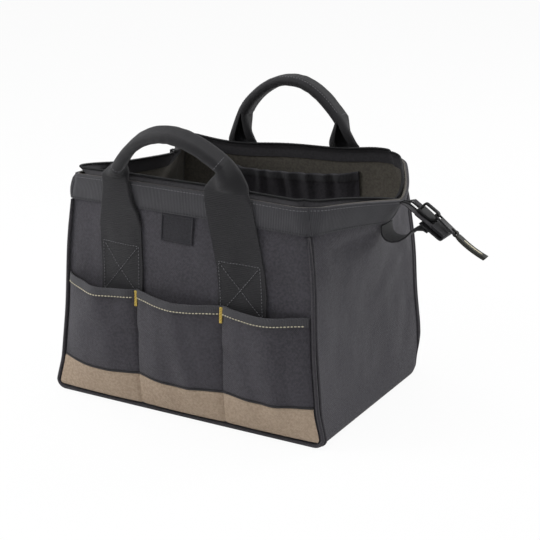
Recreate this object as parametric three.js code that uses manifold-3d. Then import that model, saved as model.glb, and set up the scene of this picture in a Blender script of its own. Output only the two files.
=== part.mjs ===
// Zippered tool bag, 12 inch class, standing open.
// Millimetres, +Z up, origin on the floor under the middle of the bag.
// +X points to the end with the zipper tail, -Y to the front with the label.
import * as THREE from 'three';
import { mergeVertices } from 'three/addons/utils/BufferGeometryUtils.js';
import Module from 'manifold-3d';

const wasm = await Module();
wasm.setup();

// Body of the bag
const bottomLength = 316;
const topLength = 265;
const bottomWidth = 227;
const topWidth = 206;
const rimHeight = 238;
const clothThickness = 2.4;
const seamGap = 0.3;
const bottomCornerRadius = 20;
const frontBulge = 17;
const rearBulge = 12;
const bulgeFullHeight = 120;
const bulgeFallDepth = 42;
const endBow = 53;
const endBowStart = 60;
const endBowPower = 3;
const leftFold = 45;
const leftFoldStart = 90;
const leftFoldPower = 1.6;
const ridgeRounding = 0.1;
const tipDrop = 18;
const boardThickness = 4;
const boardMargin = 3;
const boardCornerRadius = 6;

// Hem, piping and label
const rimStand = 6;
const hemHeight = 25.5;
const hemThickness = 1.6;
const pipingRadius = 2.2;
const pipingLift = 0.5;
const pipingTuck = 0.7;
const labelWidth = 38;
const labelHeight = 28;
const labelThickness = 1.2;

// Outer pockets, their binding and the trim band
const pocketDivision = 49;
const pocketBottom = 6;
const pocketTop = 123;
const pocketTopDip = 5;
const pocketThickness = 1.4;
const pocketDepth = 13;
const pocketEase = 30;
const bindingHeight = 8;
const bindingThickness = 1;
const trimTop = 37;
const trimTopDip = 6;
const trimThickness = 1.1;
const bartackWidth = 3;
const bartackHeight = 16;
const bartackThickness = 0.9;
const bartackCrown = 0.5;

// Inner pocket on the rear wall
const innerPocketDrop = 28;
const innerPocketHeight = 120;
const innerPocketHalfWidth = 80;
const innerPocketDepth = 14;
const innerBindingHeight = 8;

// Webbing handles
const webbingWidth = 50.8;
const webbingThickness = 2.2;
const strapTuck = 27;
const strapRamp = 14;
const strapCentreLow = 69;
const strapCentreHigh = 61;
const strapSlantHeight = 71;
const strapFoldHeight = 38;
const strapRimWidth = 34;
const pivotLift = 4;
const pivotClearance = 0.95;
const pivotThickness = 1.6;
const foldedDepth = 1.7;
const gripWidth = 11.5;
const gripDepth = 24;
const gripWall = 1.9;
const gripRise = 67;
const gripShoulder = 30;
const gripDrawIn = 4;
const gripLegShare = 0.3;
const slitHalfAngle = 10;
const rimFoldAngle = 150;
const frontHandleTilt = 21;
const rearHandleTilt = 0;
const coreClearance = 0.7;
const coreReach = 0.95;

// Zipper
const tapeTuck = 10;
const tapeThickness = 1;
const tapeLean = 3;
const tipTapeWidth = 3;
const coilRadius = 1.5;
const tipSag = 15;
const tailDrop = 33;
const tailLength = 50;
const tailCoilOffset = 3.8;
const tailStart = 3;
const tailFlare = 1.6;
const tailTapeOuter = 12.5;
const sliderLength = 21;
const sliderNoseWidth = 15;
const sliderHeelWidth = 11;
const plateThickness = 1.7;
const plateGap = 0.4;
const lipSlit = 0.8;
const diamondWidth = 3.4;
const diamondLength = 6;
const crownWidth = 3.6;
const crownBar = 2;
const crownHole = 1.4;
const crownPivotLift = 4.6;
const crownSetback = 1.5;
const tabWidth = 9;
const tabThickness = 1.8;
const tabLength = 27;
const tabEyeWidth = 5;
const tabEyeLength = 5.2;
const tabSlotWidth = 4.4;
const tabSlotLength = 5;
const tabEndBar = 2;
const tabNeck = 0.6;
const tabNeckLength = 8;
const tabDrop = 38.5;
const pullerWidth = 7.5;
const pullerThickness = 3.6;
const pullerLength = 34;
const pullerDrop = 41;
const pullerBend = 6;
const pullerRingBar = 1.2;
const pullerRingWidth = 3.4;
const pullerRingPlay = 0.75;
const pullerNeckThickness = 2.5;
const tailTabWidth = 25;
const tailTabThickness = 1.5;
const tailTabLength = 28;
const tailTabLap = 16;
const tailTabFold = 1;
const tailStrapWidth = 24;
const tailStrapThickness = 1.8;
const tailStrapDroop = 14;
const tailStrapReach = 36;
const tailStrapEnd = 14;
const tailStrapLap = 10;
const stopWall = 0.8;
const stopLength = 5;
const stopHalfWidth = 3;
const stopLegDepth = 2.6;

// Materials
const cloth = new THREE.MeshStandardMaterial({ color: 0x3b393e, roughness: 0.9, metalness: 0 });
const webbing = new THREE.MeshStandardMaterial({ color: 0x2c2c2e, roughness: 0.85, metalness: 0 });
const hemTape = new THREE.MeshStandardMaterial({ color: 0x3a3a3c, roughness: 0.85, metalness: 0 });
const tanCloth = new THREE.MeshStandardMaterial({ color: 0x9b8a78, roughness: 0.9, metalness: 0 });
const yellowThread = new THREE.MeshStandardMaterial({ color: 0xd9b53c, roughness: 0.7, metalness: 0 });
const labelCloth = new THREE.MeshStandardMaterial({ color: 0x201f24, roughness: 0.7, metalness: 0 });
const boardStock = new THREE.MeshStandardMaterial({ color: 0x252527, roughness: 0.8, metalness: 0 });
const zipTape = new THREE.MeshStandardMaterial({ color: 0x4a4a4d, roughness: 0.8, metalness: 0 });
const zipCoil = new THREE.MeshStandardMaterial({ color: 0x1c1c1e, roughness: 0.5, metalness: 0 });
const blackMetal = new THREE.MeshStandardMaterial({ color: 0x1e1e20, roughness: 0.4, metalness: 0.6 });
const foam = new THREE.MeshStandardMaterial({ color: 0x303030, roughness: 0.95, metalness: 0 });
const rubber = new THREE.MeshStandardMaterial({ color: 0x26261f, roughness: 0.6, metalness: 0 });

const bag = new THREE.Group();
const radians = THREE.MathUtils.degToRad;
const lerp = THREE.MathUtils.lerp;
const rise = (from, to, value) => THREE.MathUtils.smoothstep(value, from, to);

function add(name, geometry, material, parent = bag) {
  const mesh = new THREE.Mesh(geometry, material);
  mesh.name = name;
  parent.add(mesh);
}

function spread(from, to, steps) {
  return Array.from({ length: steps + 1 }, (_, i) => lerp(from, to, i / steps));
}

const ascending = (...values) => [...new Set(values)].sort((a, b) => a - b);

// Heights that follow from the rim
const hemTop = rimHeight - rimStand;
const hemBottom = hemTop - hemHeight;
const tapeBottom = hemTop - tapeTuck;
const tapeTop = rimHeight - coilRadius - seamGap;
const tipHeight = rimHeight - tipSag;
const bulgeFallStart = rimHeight - bulgeFallDepth;
const innerPocketTop = rimHeight - innerPocketDrop;
const innerPocketBottom = innerPocketTop - innerPocketHeight;
const pivotHeight = hemTop + pivotLift;
const strapBottom = pocketTop - strapTuck;
const strapSlantStart = pivotHeight - strapSlantHeight;
const strapFoldStart = pivotHeight - strapFoldHeight;

// Solids from surfaces
function signedVolume(positions, corners) {
  const a = new THREE.Vector3();
  const b = new THREE.Vector3();
  const c = new THREE.Vector3();
  let total = 0;
  for (let i = 0; i < corners.length; i += 3) {
    a.fromArray(positions, 3 * corners[i]);
    b.fromArray(positions, 3 * corners[i + 1]);
    c.fromArray(positions, 3 * corners[i + 2]);
    total += a.dot(b.cross(c));
  }
  return total;
}

function closedGeometry(positions, corners) {
  if (signedVolume(positions, corners) < 0) {
    corners.reverse();
  }
  const geometry = new THREE.BufferGeometry();
  geometry.setAttribute('position', new THREE.Float32BufferAttribute(positions, 3));
  geometry.setIndex(corners);
  return geometry;
}

// A sheet of cloth: two skins over the same grid, closed along its four edges.
function sheet(columns, rows, outer, inner) {
  const positions = [];
  const width = columns.length;
  const height = rows.length;
  for (const skin of [outer, inner]) {
    for (const row of rows) {
      for (const column of columns) {
        positions.push(...skin(column, row));
      }
    }
  }
  const at = (side, j, i) => side * width * height + j * width + i;
  const corners = [];
  const quad = (a, b, c, d) => corners.push(a, b, c, a, c, d);
  for (let j = 0; j + 1 < height; j += 1) {
    for (let i = 0; i + 1 < width; i += 1) {
      quad(at(0, j, i), at(0, j, i + 1), at(0, j + 1, i + 1), at(0, j + 1, i));
      quad(at(1, j, i), at(1, j + 1, i), at(1, j + 1, i + 1), at(1, j, i + 1));
    }
  }
  for (let i = 0; i + 1 < width; i += 1) {
    quad(at(0, 0, i), at(1, 0, i), at(1, 0, i + 1), at(0, 0, i + 1));
    quad(at(0, height - 1, i), at(0, height - 1, i + 1), at(1, height - 1, i + 1), at(1, height - 1, i));
  }
  for (let j = 0; j + 1 < height; j += 1) {
    quad(at(0, j, 0), at(0, j + 1, 0), at(1, j + 1, 0), at(1, j, 0));
    quad(at(0, j, width - 1), at(1, j, width - 1), at(1, j + 1, width - 1), at(0, j + 1, width - 1));
  }
  return closedGeometry(positions, corners);
}

function extruded(shape, depth, curveSegments = 6) {
  const settings = { depth, bevelEnabled: false, curveSegments };
  return new THREE.ExtrudeGeometry(shape, settings).translate(0, 0, -depth / 2);
}

function tube(points, radius, steps, sides) {
  const section = new THREE.Shape();
  for (let i = 0; i < sides; i += 1) {
    const angle = (2 * Math.PI * i) / sides;
    const method = i === 0 ? 'moveTo' : 'lineTo';
    section[method](radius * Math.cos(angle), radius * Math.sin(angle));
  }
  section.closePath();
  const path = new THREE.CatmullRomCurve3(points, false, 'centripetal');
  return new THREE.ExtrudeGeometry(section, { steps, extrudePath: path, bevelEnabled: false });
}

function asSolid(geometry) {
  const bare = geometry.clone();
  bare.deleteAttribute('normal');
  bare.deleteAttribute('uv');
  const merged = mergeVertices(bare, 1e-4);
  const vertProperties = Float32Array.from(merged.attributes.position.array);
  const triVerts = Uint32Array.from(merged.index.array);
  return new wasm.Manifold(new wasm.Mesh({ numProp: 3, vertProperties, triVerts }));
}

function asGeometry(solid) {
  const mesh = solid.getMesh();
  const geometry = new THREE.BufferGeometry();
  geometry.setAttribute('position', new THREE.Float32BufferAttribute(mesh.vertProperties, 3));
  geometry.setIndex(Array.from(mesh.triVerts));
  return geometry;
}

// Shape of the bag
const halfLength = (z) => lerp(bottomLength, topLength, z / rimHeight) / 2;
const halfWidth = (z) => lerp(bottomWidth, topWidth, z / rimHeight) / 2;
const arcCentreX = halfLength(bottomCornerRadius) - bottomCornerRadius;

function cornerX(z) {
  if (z >= bottomCornerRadius) {
    return halfLength(z);
  }
  const below = bottomCornerRadius - z;
  return arcCentreX + Math.sqrt(bottomCornerRadius ** 2 - below ** 2);
}

function bulgeProfile(z) {
  const up = Math.sin((Math.PI / 2) * Math.min(z / bulgeFullHeight, 1));
  return up * (1 - rise(bulgeFallStart, rimHeight, z));
}

const faces = {
  front: { out: -1, bulge: frontBulge, tilt: frontHandleTilt },
  rear: { out: 1, bulge: rearBulge, tilt: rearHandleTilt },
};

function faceReach(face, x, z) {
  const across = 1 - (x / halfLength(z)) ** 2;
  return halfWidth(z) + face.bulge * Math.max(across, 0) * bulgeProfile(z);
}

const facePoint = (face, x, z, off) => [x, face.out * (faceReach(face, x, z) + off), z];

const ends = {
  left: { out: -1, depth: -leftFold, start: leftFoldStart, power: leftFoldPower, drop: 0, tipHalf: seamGap },
  right: { out: 1, depth: endBow, start: endBowStart, power: endBowPower, drop: tipDrop, tipHalf: 0 },
};

const ridgeReach = (z) => halfWidth(z) - clothThickness - 2 * seamGap;

// 1 on the ridge in the middle of an end, 0 beside the corners.
function ridge(y, z) {
  const t = Math.min(Math.abs(y) / ridgeReach(z), 1);
  const far = Math.hypot(1, ridgeRounding);
  return (far - Math.hypot(t, ridgeRounding)) / (far - ridgeRounding);
}

function endReach(end, y, z) {
  const s = THREE.MathUtils.clamp((z - end.start) / (hemTop - end.start), 0, 1.1);
  return halfLength(z) + end.depth * s ** end.power * ridge(y, z);
}

const endPoint = (end, y, z, off) => [end.out * (endReach(end, y, z) + off), y, z];
const endTop = (end, t) => hemTop - end.drop * (1 - Math.min(Math.abs(t), 1)) ** 2;

// Bottom: outer cloth and the stiffener that lies on it
function bottomPieces() {
  const clothY = bottomWidth / 2 - clothThickness - seamGap;
  const panel = new THREE.BoxGeometry(2 * (arcCentreX - seamGap), 2 * clothY, clothThickness);
  add('bottom_panel', panel.translate(0, 0, clothThickness / 2), cloth);
  const boardX = arcCentreX - boardMargin;
  const boardY = clothY - boardMargin;
  const outline = new THREE.Shape();
  const r = boardCornerRadius;
  outline.moveTo(-boardX + r, -boardY);
  outline.lineTo(boardX - r, -boardY);
  outline.absarc(boardX - r, -boardY + r, r, -Math.PI / 2, 0, false);
  outline.lineTo(boardX, boardY - r);
  outline.absarc(boardX - r, boardY - r, r, 0, Math.PI / 2, false);
  outline.lineTo(-boardX + r, boardY);
  outline.absarc(-boardX + r, boardY - r, r, Math.PI / 2, Math.PI, false);
  outline.lineTo(-boardX, -boardY + r);
  outline.absarc(-boardX + r, -boardY + r, r, Math.PI, 1.5 * Math.PI, false);
  const board = extruded(outline, boardThickness, 3);
  const boardZ = clothThickness + seamGap + boardThickness / 2;
  add('bottom_board', board.translate(0, 0, boardZ), boardStock);
}

// Front and rear panels
const panelColumns = spread(-1, 1, 14);
const hemRows = ascending(...spread(hemBottom, hemTop, 2), tapeBottom);
const arcRows = [0.03, 0.22, 0.55, 1].map((share) => share * bottomCornerRadius);
const wallRows = spread(bottomCornerRadius, bulgeFullHeight, 3);
const bulgeRows = spread(bulgeFullHeight, bulgeFallStart, 2);
const panelRows = ascending(...arcRows, ...wallRows, ...bulgeRows, ...hemRows);

function facePanel(side) {
  const face = faces[side];
  const skin = (off) => (u, z) => facePoint(face, u * cornerX(z), z, off);
  add(`${side}_panel`, sheet(panelColumns, panelRows, skin(0), skin(-clothThickness)), cloth);
}

// End panels: they run in under the bag in a round corner.
// Columns run from -1 to 1 across the ridge, and 2 is the edge beside the corner.
const endColumns = [-2, ...spread(-1, 1, 12), 2];
const hemShare = (hemBottom - bottomCornerRadius) / (hemTop - bottomCornerRadius);
const endHemRows = spread(1 + hemShare, 2, 3);
const endRows = [...spread(0, 1, 3), ...spread(1, 1 + hemShare, 6).slice(1), ...endHemRows.slice(1)];

function endY(t, z, edge) {
  return Math.abs(t) > 1 ? Math.sign(t) * edge : t * ridgeReach(z);
}

function endPanel(side) {
  const end = ends[side];
  const skin = (off) => (t, v) => {
    if (v <= 1) {
      const angle = (Math.PI / 2) * (1 - v);
      const radius = bottomCornerRadius + off;
      const x = arcCentreX + radius * Math.cos(angle);
      const z = bottomCornerRadius - radius * Math.sin(angle);
      return [end.out * x, endY(t, z, halfWidth(z) - clothThickness - seamGap), z];
    }
    const z = lerp(bottomCornerRadius, endTop(end, t), v - 1);
    return endPoint(end, endY(t, z, halfWidth(z) - clothThickness - seamGap), z, off);
  };
  add(`${side}_end_panel`, sheet(endColumns, endRows, skin(0), skin(-clothThickness)), cloth);
}

// Hem bands: stiff ribbed tape over the top of each panel
const slantGap = seamGap * 1.25;

function faceHem(side) {
  const face = faces[side];
  const past = slantGap + hemThickness;
  const columns = [-2, ...panelColumns, 2];
  const skin = (off) => (u, z) => {
    if (Math.abs(u) > 1) {
      const corner = facePoint(face, Math.sign(u) * halfLength(z), z, off);
      return [corner[0] + Math.sign(u) * past, corner[1], z];
    }
    return facePoint(face, u * halfLength(z), z, off);
  };
  add(`${side}_hem`, sheet(columns, hemRows, skin(seamGap + hemThickness), skin(seamGap)), hemTape);
}

function endHem(side) {
  const end = ends[side];
  const skin = (off) => (t, v) => {
    const z = lerp(bottomCornerRadius, endTop(end, t), v - 1);
    return endPoint(end, endY(t, z, halfWidth(z)), z, off);
  };
  const geometry = sheet(endColumns, endHemRows, skin(slantGap + hemThickness), skin(slantGap));
  add(`${side}_end_hem`, geometry, hemTape);
}

// Piping: a cord in cloth, down both corners and along the bottom of a face
function piping(side) {
  const face = faces[side];
  const off = seamGap + pipingRadius;
  const inset = pipingTuck;
  const bottom = pipingRadius + pipingLift;
  const sweep = bottomCornerRadius - bottom;
  const at = (x, z) => new THREE.Vector3(...facePoint(face, x, z, off));
  const half = [];
  for (const z of spread(hemBottom - pipingTuck, 1.5 * bottomCornerRadius, 5)) {
    half.push(at(halfLength(z) - inset, z));
  }
  for (const angle of spread(0, Math.PI / 2, 4)) {
    const x = arcCentreX + (bottomCornerRadius - inset) * Math.cos(angle);
    half.push(at(x, bottomCornerRadius - sweep * Math.sin(angle)));
  }
  for (const x of [0.75, 0.5, 0.25]) {
    half.push(at(x * arcCentreX, bottom));
  }
  const mirrored = half.map((p) => new THREE.Vector3(-p.x, p.y, p.z)).reverse();
  const points = [...half, at(0, bottom), ...mirrored];
  add(`${side}_piping`, tube(points, pipingRadius, 44, 6), webbing);
}

// Outer pockets: each stands off the panel between its two seams
const pocketInset = 2 * pipingRadius + 2 * seamGap;
const pocketColumns = spread(0, 1, 7);

function pocketEdge(z) {
  if (z >= bottomCornerRadius) {
    return halfLength(z) - pocketInset;
  }
  const radius = bottomCornerRadius - pocketInset;
  return arcCentreX + Math.sqrt(Math.max(radius ** 2 - (bottomCornerRadius - z) ** 2, 0));
}

const pocketSpans = {
  left: (z) => [-pocketEdge(z), -pocketDivision - seamGap / 2],
  middle: () => [-pocketDivision + seamGap / 2, pocketDivision - seamGap / 2],
  right: (z) => [pocketDivision + seamGap / 2, pocketEdge(z)],
};

// The pockets are sewn on over the lower ends of the handle webbing.
function strapStep(x, z) {
  const outerEdge = strapCentreLow + webbingWidth / 2;
  const near = 1 - rise(outerEdge, outerEdge + pocketEase, Math.abs(x));
  return (webbingThickness + seamGap) * near * rise(strapBottom - strapRamp, strapBottom, z + seamGap);
}

function pocketPoint(face, span, u, z, off) {
  const [from, to] = pocketSpans[span](z);
  const x = lerp(from, to, u);
  const belly = Math.sin(Math.PI * u) ** 0.8 * Math.sin((Math.PI / 2) * Math.min(z / pocketTop, 1));
  return facePoint(face, x, z, off + strapStep(x, z) + pocketDepth * belly);
}

const pocketDipAt = (u, dip) => dip * Math.sin(Math.PI * u) ** 2;

// Heights of the grid rows at a place across a pocket, shared by the cloth and its bands.
function pocketHeights(u) {
  const top = pocketTop - pocketDipAt(u, pocketTopDip);
  const band = trimTop - pocketDipAt(u, trimTopDip);
  const low = Math.min(bottomCornerRadius, lerp(pocketBottom, band, 0.6));
  return [pocketBottom, low, band, lerp(band, strapBottom, 0.6), strapBottom - strapRamp, strapBottom,
    top - bindingHeight, top];
}

const allRows = [0, 1, 2, 3, 4, 5, 6, 7];
const trimRows = allRows.slice(0, 3);
const bindingRows = allRows.slice(-2);

function pockets(side) {
  const face = faces[side];
  for (const span of Object.keys(pocketSpans)) {
    const skin = (off) => (u, row) => pocketPoint(face, span, u, pocketHeights(u)[row], off);
    const geometry = sheet(pocketColumns, allRows, skin(seamGap + pocketThickness), skin(seamGap));
    add(`${side}_pocket_${span}`, geometry, cloth);
  }
}

// A band over all three pockets follows them in and out at the seams.
function pocketBand(name, side, rows, thickness, material) {
  const face = faces[side];
  const columns = Object.keys(pocketSpans).flatMap((span) => pocketColumns.map((u) => ({ span, u })));
  const base = 2 * seamGap + pocketThickness;
  const skin = (off) => ({ span, u }, row) => pocketPoint(face, span, u, pocketHeights(u)[row], off);
  add(name, sheet(columns, rows, skin(base + thickness), skin(base)), material);
}

function pocketTrims(side) {
  pocketBand(`${side}_pocket_binding`, side, bindingRows, bindingThickness, webbing);
  pocketBand(`${side}_trim_band`, side, trimRows, trimThickness, tanCloth);
}

function bartacks(side) {
  const face = faces[side];
  const off = 3 * seamGap + pocketThickness + bindingThickness + webbingThickness + seamGap;
  for (const [name, x] of [['left', -pocketDivision], ['right', pocketDivision]]) {
    const skin = (o) => (u, z) => facePoint(face, x + (u * bartackWidth) / 2, z, o + u * u * bartackCrown);
    const rows = spread(pocketTop - bartackHeight, pocketTop, 3);
    const geometry = sheet([-1, 0, 1], rows, skin(off + bartackThickness), skin(off));
    add(`${side}_bartack_${name}`, geometry, yellowThread);
  }
}

function label() {
  const face = faces.front;
  const skin = (off) => (x, z) => facePoint(face, x, z, off);
  const columns = spread(-labelWidth / 2, labelWidth / 2, 4);
  const rows = spread(hemBottom - seamGap - labelHeight, hemBottom - seamGap, 3);
  add('label_patch', sheet(columns, rows, skin(seamGap + labelThickness), skin(seamGap)), labelCloth);
}

// Inner pocket: a cloth panel gathered over the rear wall, open at the top
function innerPocket() {
  const face = faces.rear;
  const fall = (z) => rise(innerPocketBottom, innerPocketTop, z);
  const belly = (u, z) => innerPocketDepth * Math.cos((Math.PI / 2) * u) * fall(z);
  const columns = spread(-1, 1, 10);
  const skin = (off) => (u, z) => {
    const inward = clothThickness + seamGap + belly(u, z) + off;
    return facePoint(face, u * innerPocketHalfWidth, z, -inward);
  };
  const bindingLow = innerPocketTop - innerBindingHeight;
  const rows = ascending(...spread(innerPocketBottom, bindingLow, 4), innerPocketTop);
  add('inner_pocket', sheet(columns, rows, skin(pocketThickness), skin(0)), cloth);
  const base = pocketThickness + seamGap;
  const binding = sheet(columns, [bindingLow, innerPocketTop], skin(base + bindingThickness), skin(base));
  add('inner_pocket_binding', binding, webbing);
}

// Sewn legs of the handle webbing
function strapCentre(z) {
  const slant = THREE.MathUtils.clamp((z - strapSlantStart) / strapSlantHeight, 0, 1);
  return lerp(strapCentreLow, strapCentreHigh, slant);
}

const strapHalfWidth = (z) => lerp(webbingWidth, strapRimWidth, rise(strapFoldStart, pivotHeight, z)) / 2;
const hemStep = hemThickness + 1.5 * seamGap;
const strapLift = (z) => seamGap + hemStep * rise(hemBottom - hemHeight, hemBottom - hemThickness, z);
const strapThinTop = pivotHeight - pivotLift / 2;

function pivotReach(face) {
  const underHem = faceReach(face, strapCentreHigh, hemTop);
  return underHem + strapLift(hemTop) + webbingThickness / 2 + seamGap;
}

function strapPoint(face, x, z, side) {
  const low = Math.min(z, hemTop);
  const thin = lerp(webbingThickness, pivotThickness, rise(hemTop, strapThinTop, z));
  const lying = faceReach(face, x, low) + strapLift(low) + webbingThickness / 2;
  const reach = lerp(lying, pivotReach(face), rise(tapeBottom, hemTop, z));
  return [x, face.out * (reach + side * thin / 2), z];
}

function strapLegs(side) {
  const face = faces[side];
  const foldRows = spread(strapFoldStart, hemBottom, 1);
  const rows = ascending(strapBottom, pocketTop, strapSlantStart, hemBottom - hemHeight, ...foldRows,
    ...hemRows, strapThinTop, pivotHeight);
  for (const [name, out] of [['left', -1], ['right', 1]]) {
    const across = (u, z) => out * strapCentre(z) + u * strapHalfWidth(z);
    const skin = (half) => (u, z) => strapPoint(face, across(u, z), z, half);
    add(`${side}_strap_${name}`, sheet(spread(-1, 1, 4), rows, skin(1), skin(-1)), webbing);
  }
}

// Free part of a handle: the webbing folds in from its edges and rolls into an oval tube.
// Its arch is a parabola between two shoulders.
const gripHalfSpan = strapCentreHigh - gripDrawIn;
const gripArch = gripRise - gripShoulder;
const archTurn = (across) => Math.atan2(gripHalfSpan, 2 * gripArch * across);

function handlePath(s) {
  const side = s < 0.5 ? -1 : 1;
  const fromLeg = Math.min(s, 1 - s) / 0.5;
  if (fromLeg < gripLegShare) {
    const t = fromLeg / gripLegShare;
    const h = lerp(pivotClearance, gripShoulder, t);
    return { x: side * lerp(strapCentreHigh, gripHalfSpan, t), h, turn: archTurn(1) * t * t, side, t };
  }
  const across = (1 - fromLeg) / (1 - gripLegShare);
  const h = gripRise - gripArch * across * across;
  return { x: side * gripHalfSpan * across, h, turn: archTurn(across), side, t: 1 };
}

function handleSection(s, phiShare, inward) {
  const { x, h, turn, side, t } = handlePath(s);
  const roll = rise(0, 1, t);
  const wide = lerp(strapRimWidth, gripWidth, roll) / 2 - inward;
  const deep = lerp(foldedDepth, gripDepth / 2, roll) - inward * lerp(0.4, 1, roll);
  const reach = radians(lerp(rimFoldAngle, 180 - slitHalfAngle, roll));
  const phi = phiShare * reach;
  const across = wide * Math.sin(phi);
  const out = deep * Math.cos(phi);
  return [x - side * across * Math.cos(turn), out, h - across * Math.sin(turn)];
}

const handleStations = spread(0, 1, 22);
const foldColumns = spread(-1, 1, 8);

function handle(side) {
  const face = faces[side];
  const pivot = new THREE.Group();
  pivot.position.set(0, face.out * pivotReach(face), pivotHeight);
  pivot.rotation.x = -face.out * radians(face.tilt);
  bag.add(pivot);
  const skin = (inward) => (phi, s) => {
    const [x, out, h] = handleSection(s, phi, inward);
    return [x, face.out * out, h];
  };
  const folded = sheet(foldColumns, handleStations, skin(0), skin(gripWall));
  add(`${side}_handle_webbing`, folded, webbing, pivot);
  const rodRadius = gripWidth / 2 - gripWall - coreClearance;
  const rodPoints = spread(-coreReach, coreReach, 12).map((across) =>
    new THREE.Vector3(gripHalfSpan * across, 0, gripRise - gripArch * across * across));
  add(`${side}_handle_core`, tube(rodPoints, rodRadius, 18, 8), foam, pivot);
}

// Zipper tape and coil: round the rim and out along the tail
const tailAxis = new THREE.Vector3(Math.cos(radians(tailDrop)), 0, -Math.sin(radians(tailDrop)));
const tailUp = new THREE.Vector3(Math.sin(radians(tailDrop)), 0, Math.cos(radians(tailDrop)));
const tailRoot = new THREE.Vector3(topLength / 2 + endBow, 0, tipHeight);
const tapeInset = -clothThickness - seamGap;

function tailPoint(s, y, n) {
  return tailRoot.clone().addScaledVector(tailAxis, s).addScaledVector(tailUp, n).setY(y);
}

function leanIn(p, dirX, dirY, amount) {
  return [p[0] + dirX * amount, p[1] + dirY * amount, p[2]];
}

// Height of a tape row: 0 at the sewn edge, 1 at the hem top, 2 at the coil.
function rimLevels(tipShare) {
  const drop = tipSag * tipShare;
  const low = lerp(tapeBottom, tipHeight - tipTapeWidth, rise(0.35, 0.65, tipShare));
  return [low, Math.max(hemTop - drop, low + 1), tapeTop - drop];
}

const armShares = [0, 1, 2, 3, 4, 5].map((k) => k / 6);
const faceShares = panelColumns.slice(1, -1);
const cornerTurns = [0.25, 0.5, 0.75];

function rimStations(face) {
  const faceAt = (u) => (z, off, lean) => {
    const p = facePoint(face, u * halfLength(z), Math.min(z, hemTop), off);
    return leanIn(p, 0, -face.out, lean);
  };
  const armAt = (end, share) => (z, off, lean) => {
    const low = Math.min(z, hemTop);
    const y = Math.max(share * ridgeReach(low), share === 0 ? end.tipHalf : 0);
    return leanIn(endPoint(end, face.out * y, low, off - 2 * seamGap), -end.out, 0, lean);
  };
  const cornerAt = (end, w) => (z, off, lean) => {
    const a = faceAt(end.out * faceShares.at(-1))(z, off, lean);
    const b = armAt(end, armShares.at(-1))(z, off, lean);
    const c = [armAt(end, 1)(z, off, lean)[0], a[1]];
    const mix = (i) => (1 - w) ** 2 * a[i] + 2 * w * (1 - w) * c[i] + w * w * b[i];
    return [mix(0), mix(1), z];
  };
  const left = armShares.map((share) => ({ at: armAt(ends.left, share), tip: 0 }));
  const leftCorner = [...cornerTurns].reverse().map((w) => ({ at: cornerAt(ends.left, w), tip: 0 }));
  const middle = faceShares.map((u) => ({ at: faceAt(u), tip: 0 }));
  const rightCorner = cornerTurns.map((w) => ({ at: cornerAt(ends.right, w), tip: 0 }));
  const right = [...armShares].reverse().slice(0, -1)
    .map((share) => ({ at: armAt(ends.right, share), tip: (1 - share) ** 2 }));
  return [...left, ...leftCorner, ...middle, ...rightCorner, ...right];
}

function tapeRow(station, level, thicknessShare) {
  const z = rimLevels(station.tip)[level];
  const lean = level === 2 ? tapeLean : 0;
  const p = station.at(z, tapeInset - thicknessShare * tapeThickness, lean);
  return [p[0], p[1], z];
}

function zipperHalf(side) {
  const face = faces[side];
  const stations = rimStations(face);
  const tail = spread(tailStart, tailLength, 5).map((s) => ({ s }));
  const tapeEdge = tailCoilOffset + coilRadius + seamGap;
  const tailRow = (s, level, share) => {
    const open = tailFlare * (1 - rise(tailStart, 3 * tailStart, s));
    const y = face.out * lerp(tailTapeOuter, tapeEdge + open, level / 2);
    const p = tailPoint(s, y, (share - 0.5) * -tapeThickness);
    return [p.x, p.y, p.z];
  };
  const skin = (share) => (level, station) => {
    if ('s' in station) {
      return tailRow(station.s, level, share);
    }
    return tapeRow(station, level, share);
  };
  const tape = sheet([0, 1, 2], [...stations, ...tail], skin(0), skin(1));
  add(`zipper_tape_${side}`, tape, zipTape);
  const lift = coilRadius + seamGap;
  const coilPoints = stations.map((station) => {
    const [x, y, z] = tapeRow(station, 2, 0.5);
    return new THREE.Vector3(x, y, z + lift);
  });
  coilPoints[0].y += face.out * coilRadius / 2;
  for (const s of spread(tailStart + 1, sliderHeel, 3)) {
    coilPoints.push(tailPoint(s, face.out * tailCoilOffset, 0));
  }
  add(`zipper_coil_${side}`, tube(coilPoints, coilRadius, 56, 6), zipCoil);
}

// Slider: two plates joined by the diamond between the coils, lips beside the tape, a crown on top
const plateInner = coilRadius + plateGap;
const plateOuter = plateInner + plateThickness;
const sliderHeel = tailLength - tailTabLap;
const sliderNose = sliderHeel - sliderLength;
const crownPivot = { s: sliderHeel - crownHole - crownBar, n: plateOuter + crownPivotLift };

// Frame whose X runs along the tail, Y is the bag's Y and Z stands off the tail.
function tailFrame() {
  const frame = new THREE.Group();
  frame.position.copy(tailRoot);
  frame.rotation.y = radians(tailDrop);
  bag.add(frame);
  return frame;
}

function plateOutline(from, to, noseHalf, heelHalf) {
  const outline = new THREE.Shape();
  const round = 3;
  outline.moveTo(from + round, -noseHalf);
  outline.quadraticCurveTo(lerp(from, to, 0.6), -noseHalf, to - round, -heelHalf);
  outline.quadraticCurveTo(to, -heelHalf, to, 0);
  outline.quadraticCurveTo(to, heelHalf, to - round, heelHalf);
  outline.quadraticCurveTo(lerp(from, to, 0.6), noseHalf, from + round, noseHalf);
  outline.quadraticCurveTo(from, noseHalf, from, 0);
  outline.quadraticCurveTo(from, -noseHalf, from + round, -noseHalf);
  return outline;
}

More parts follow.
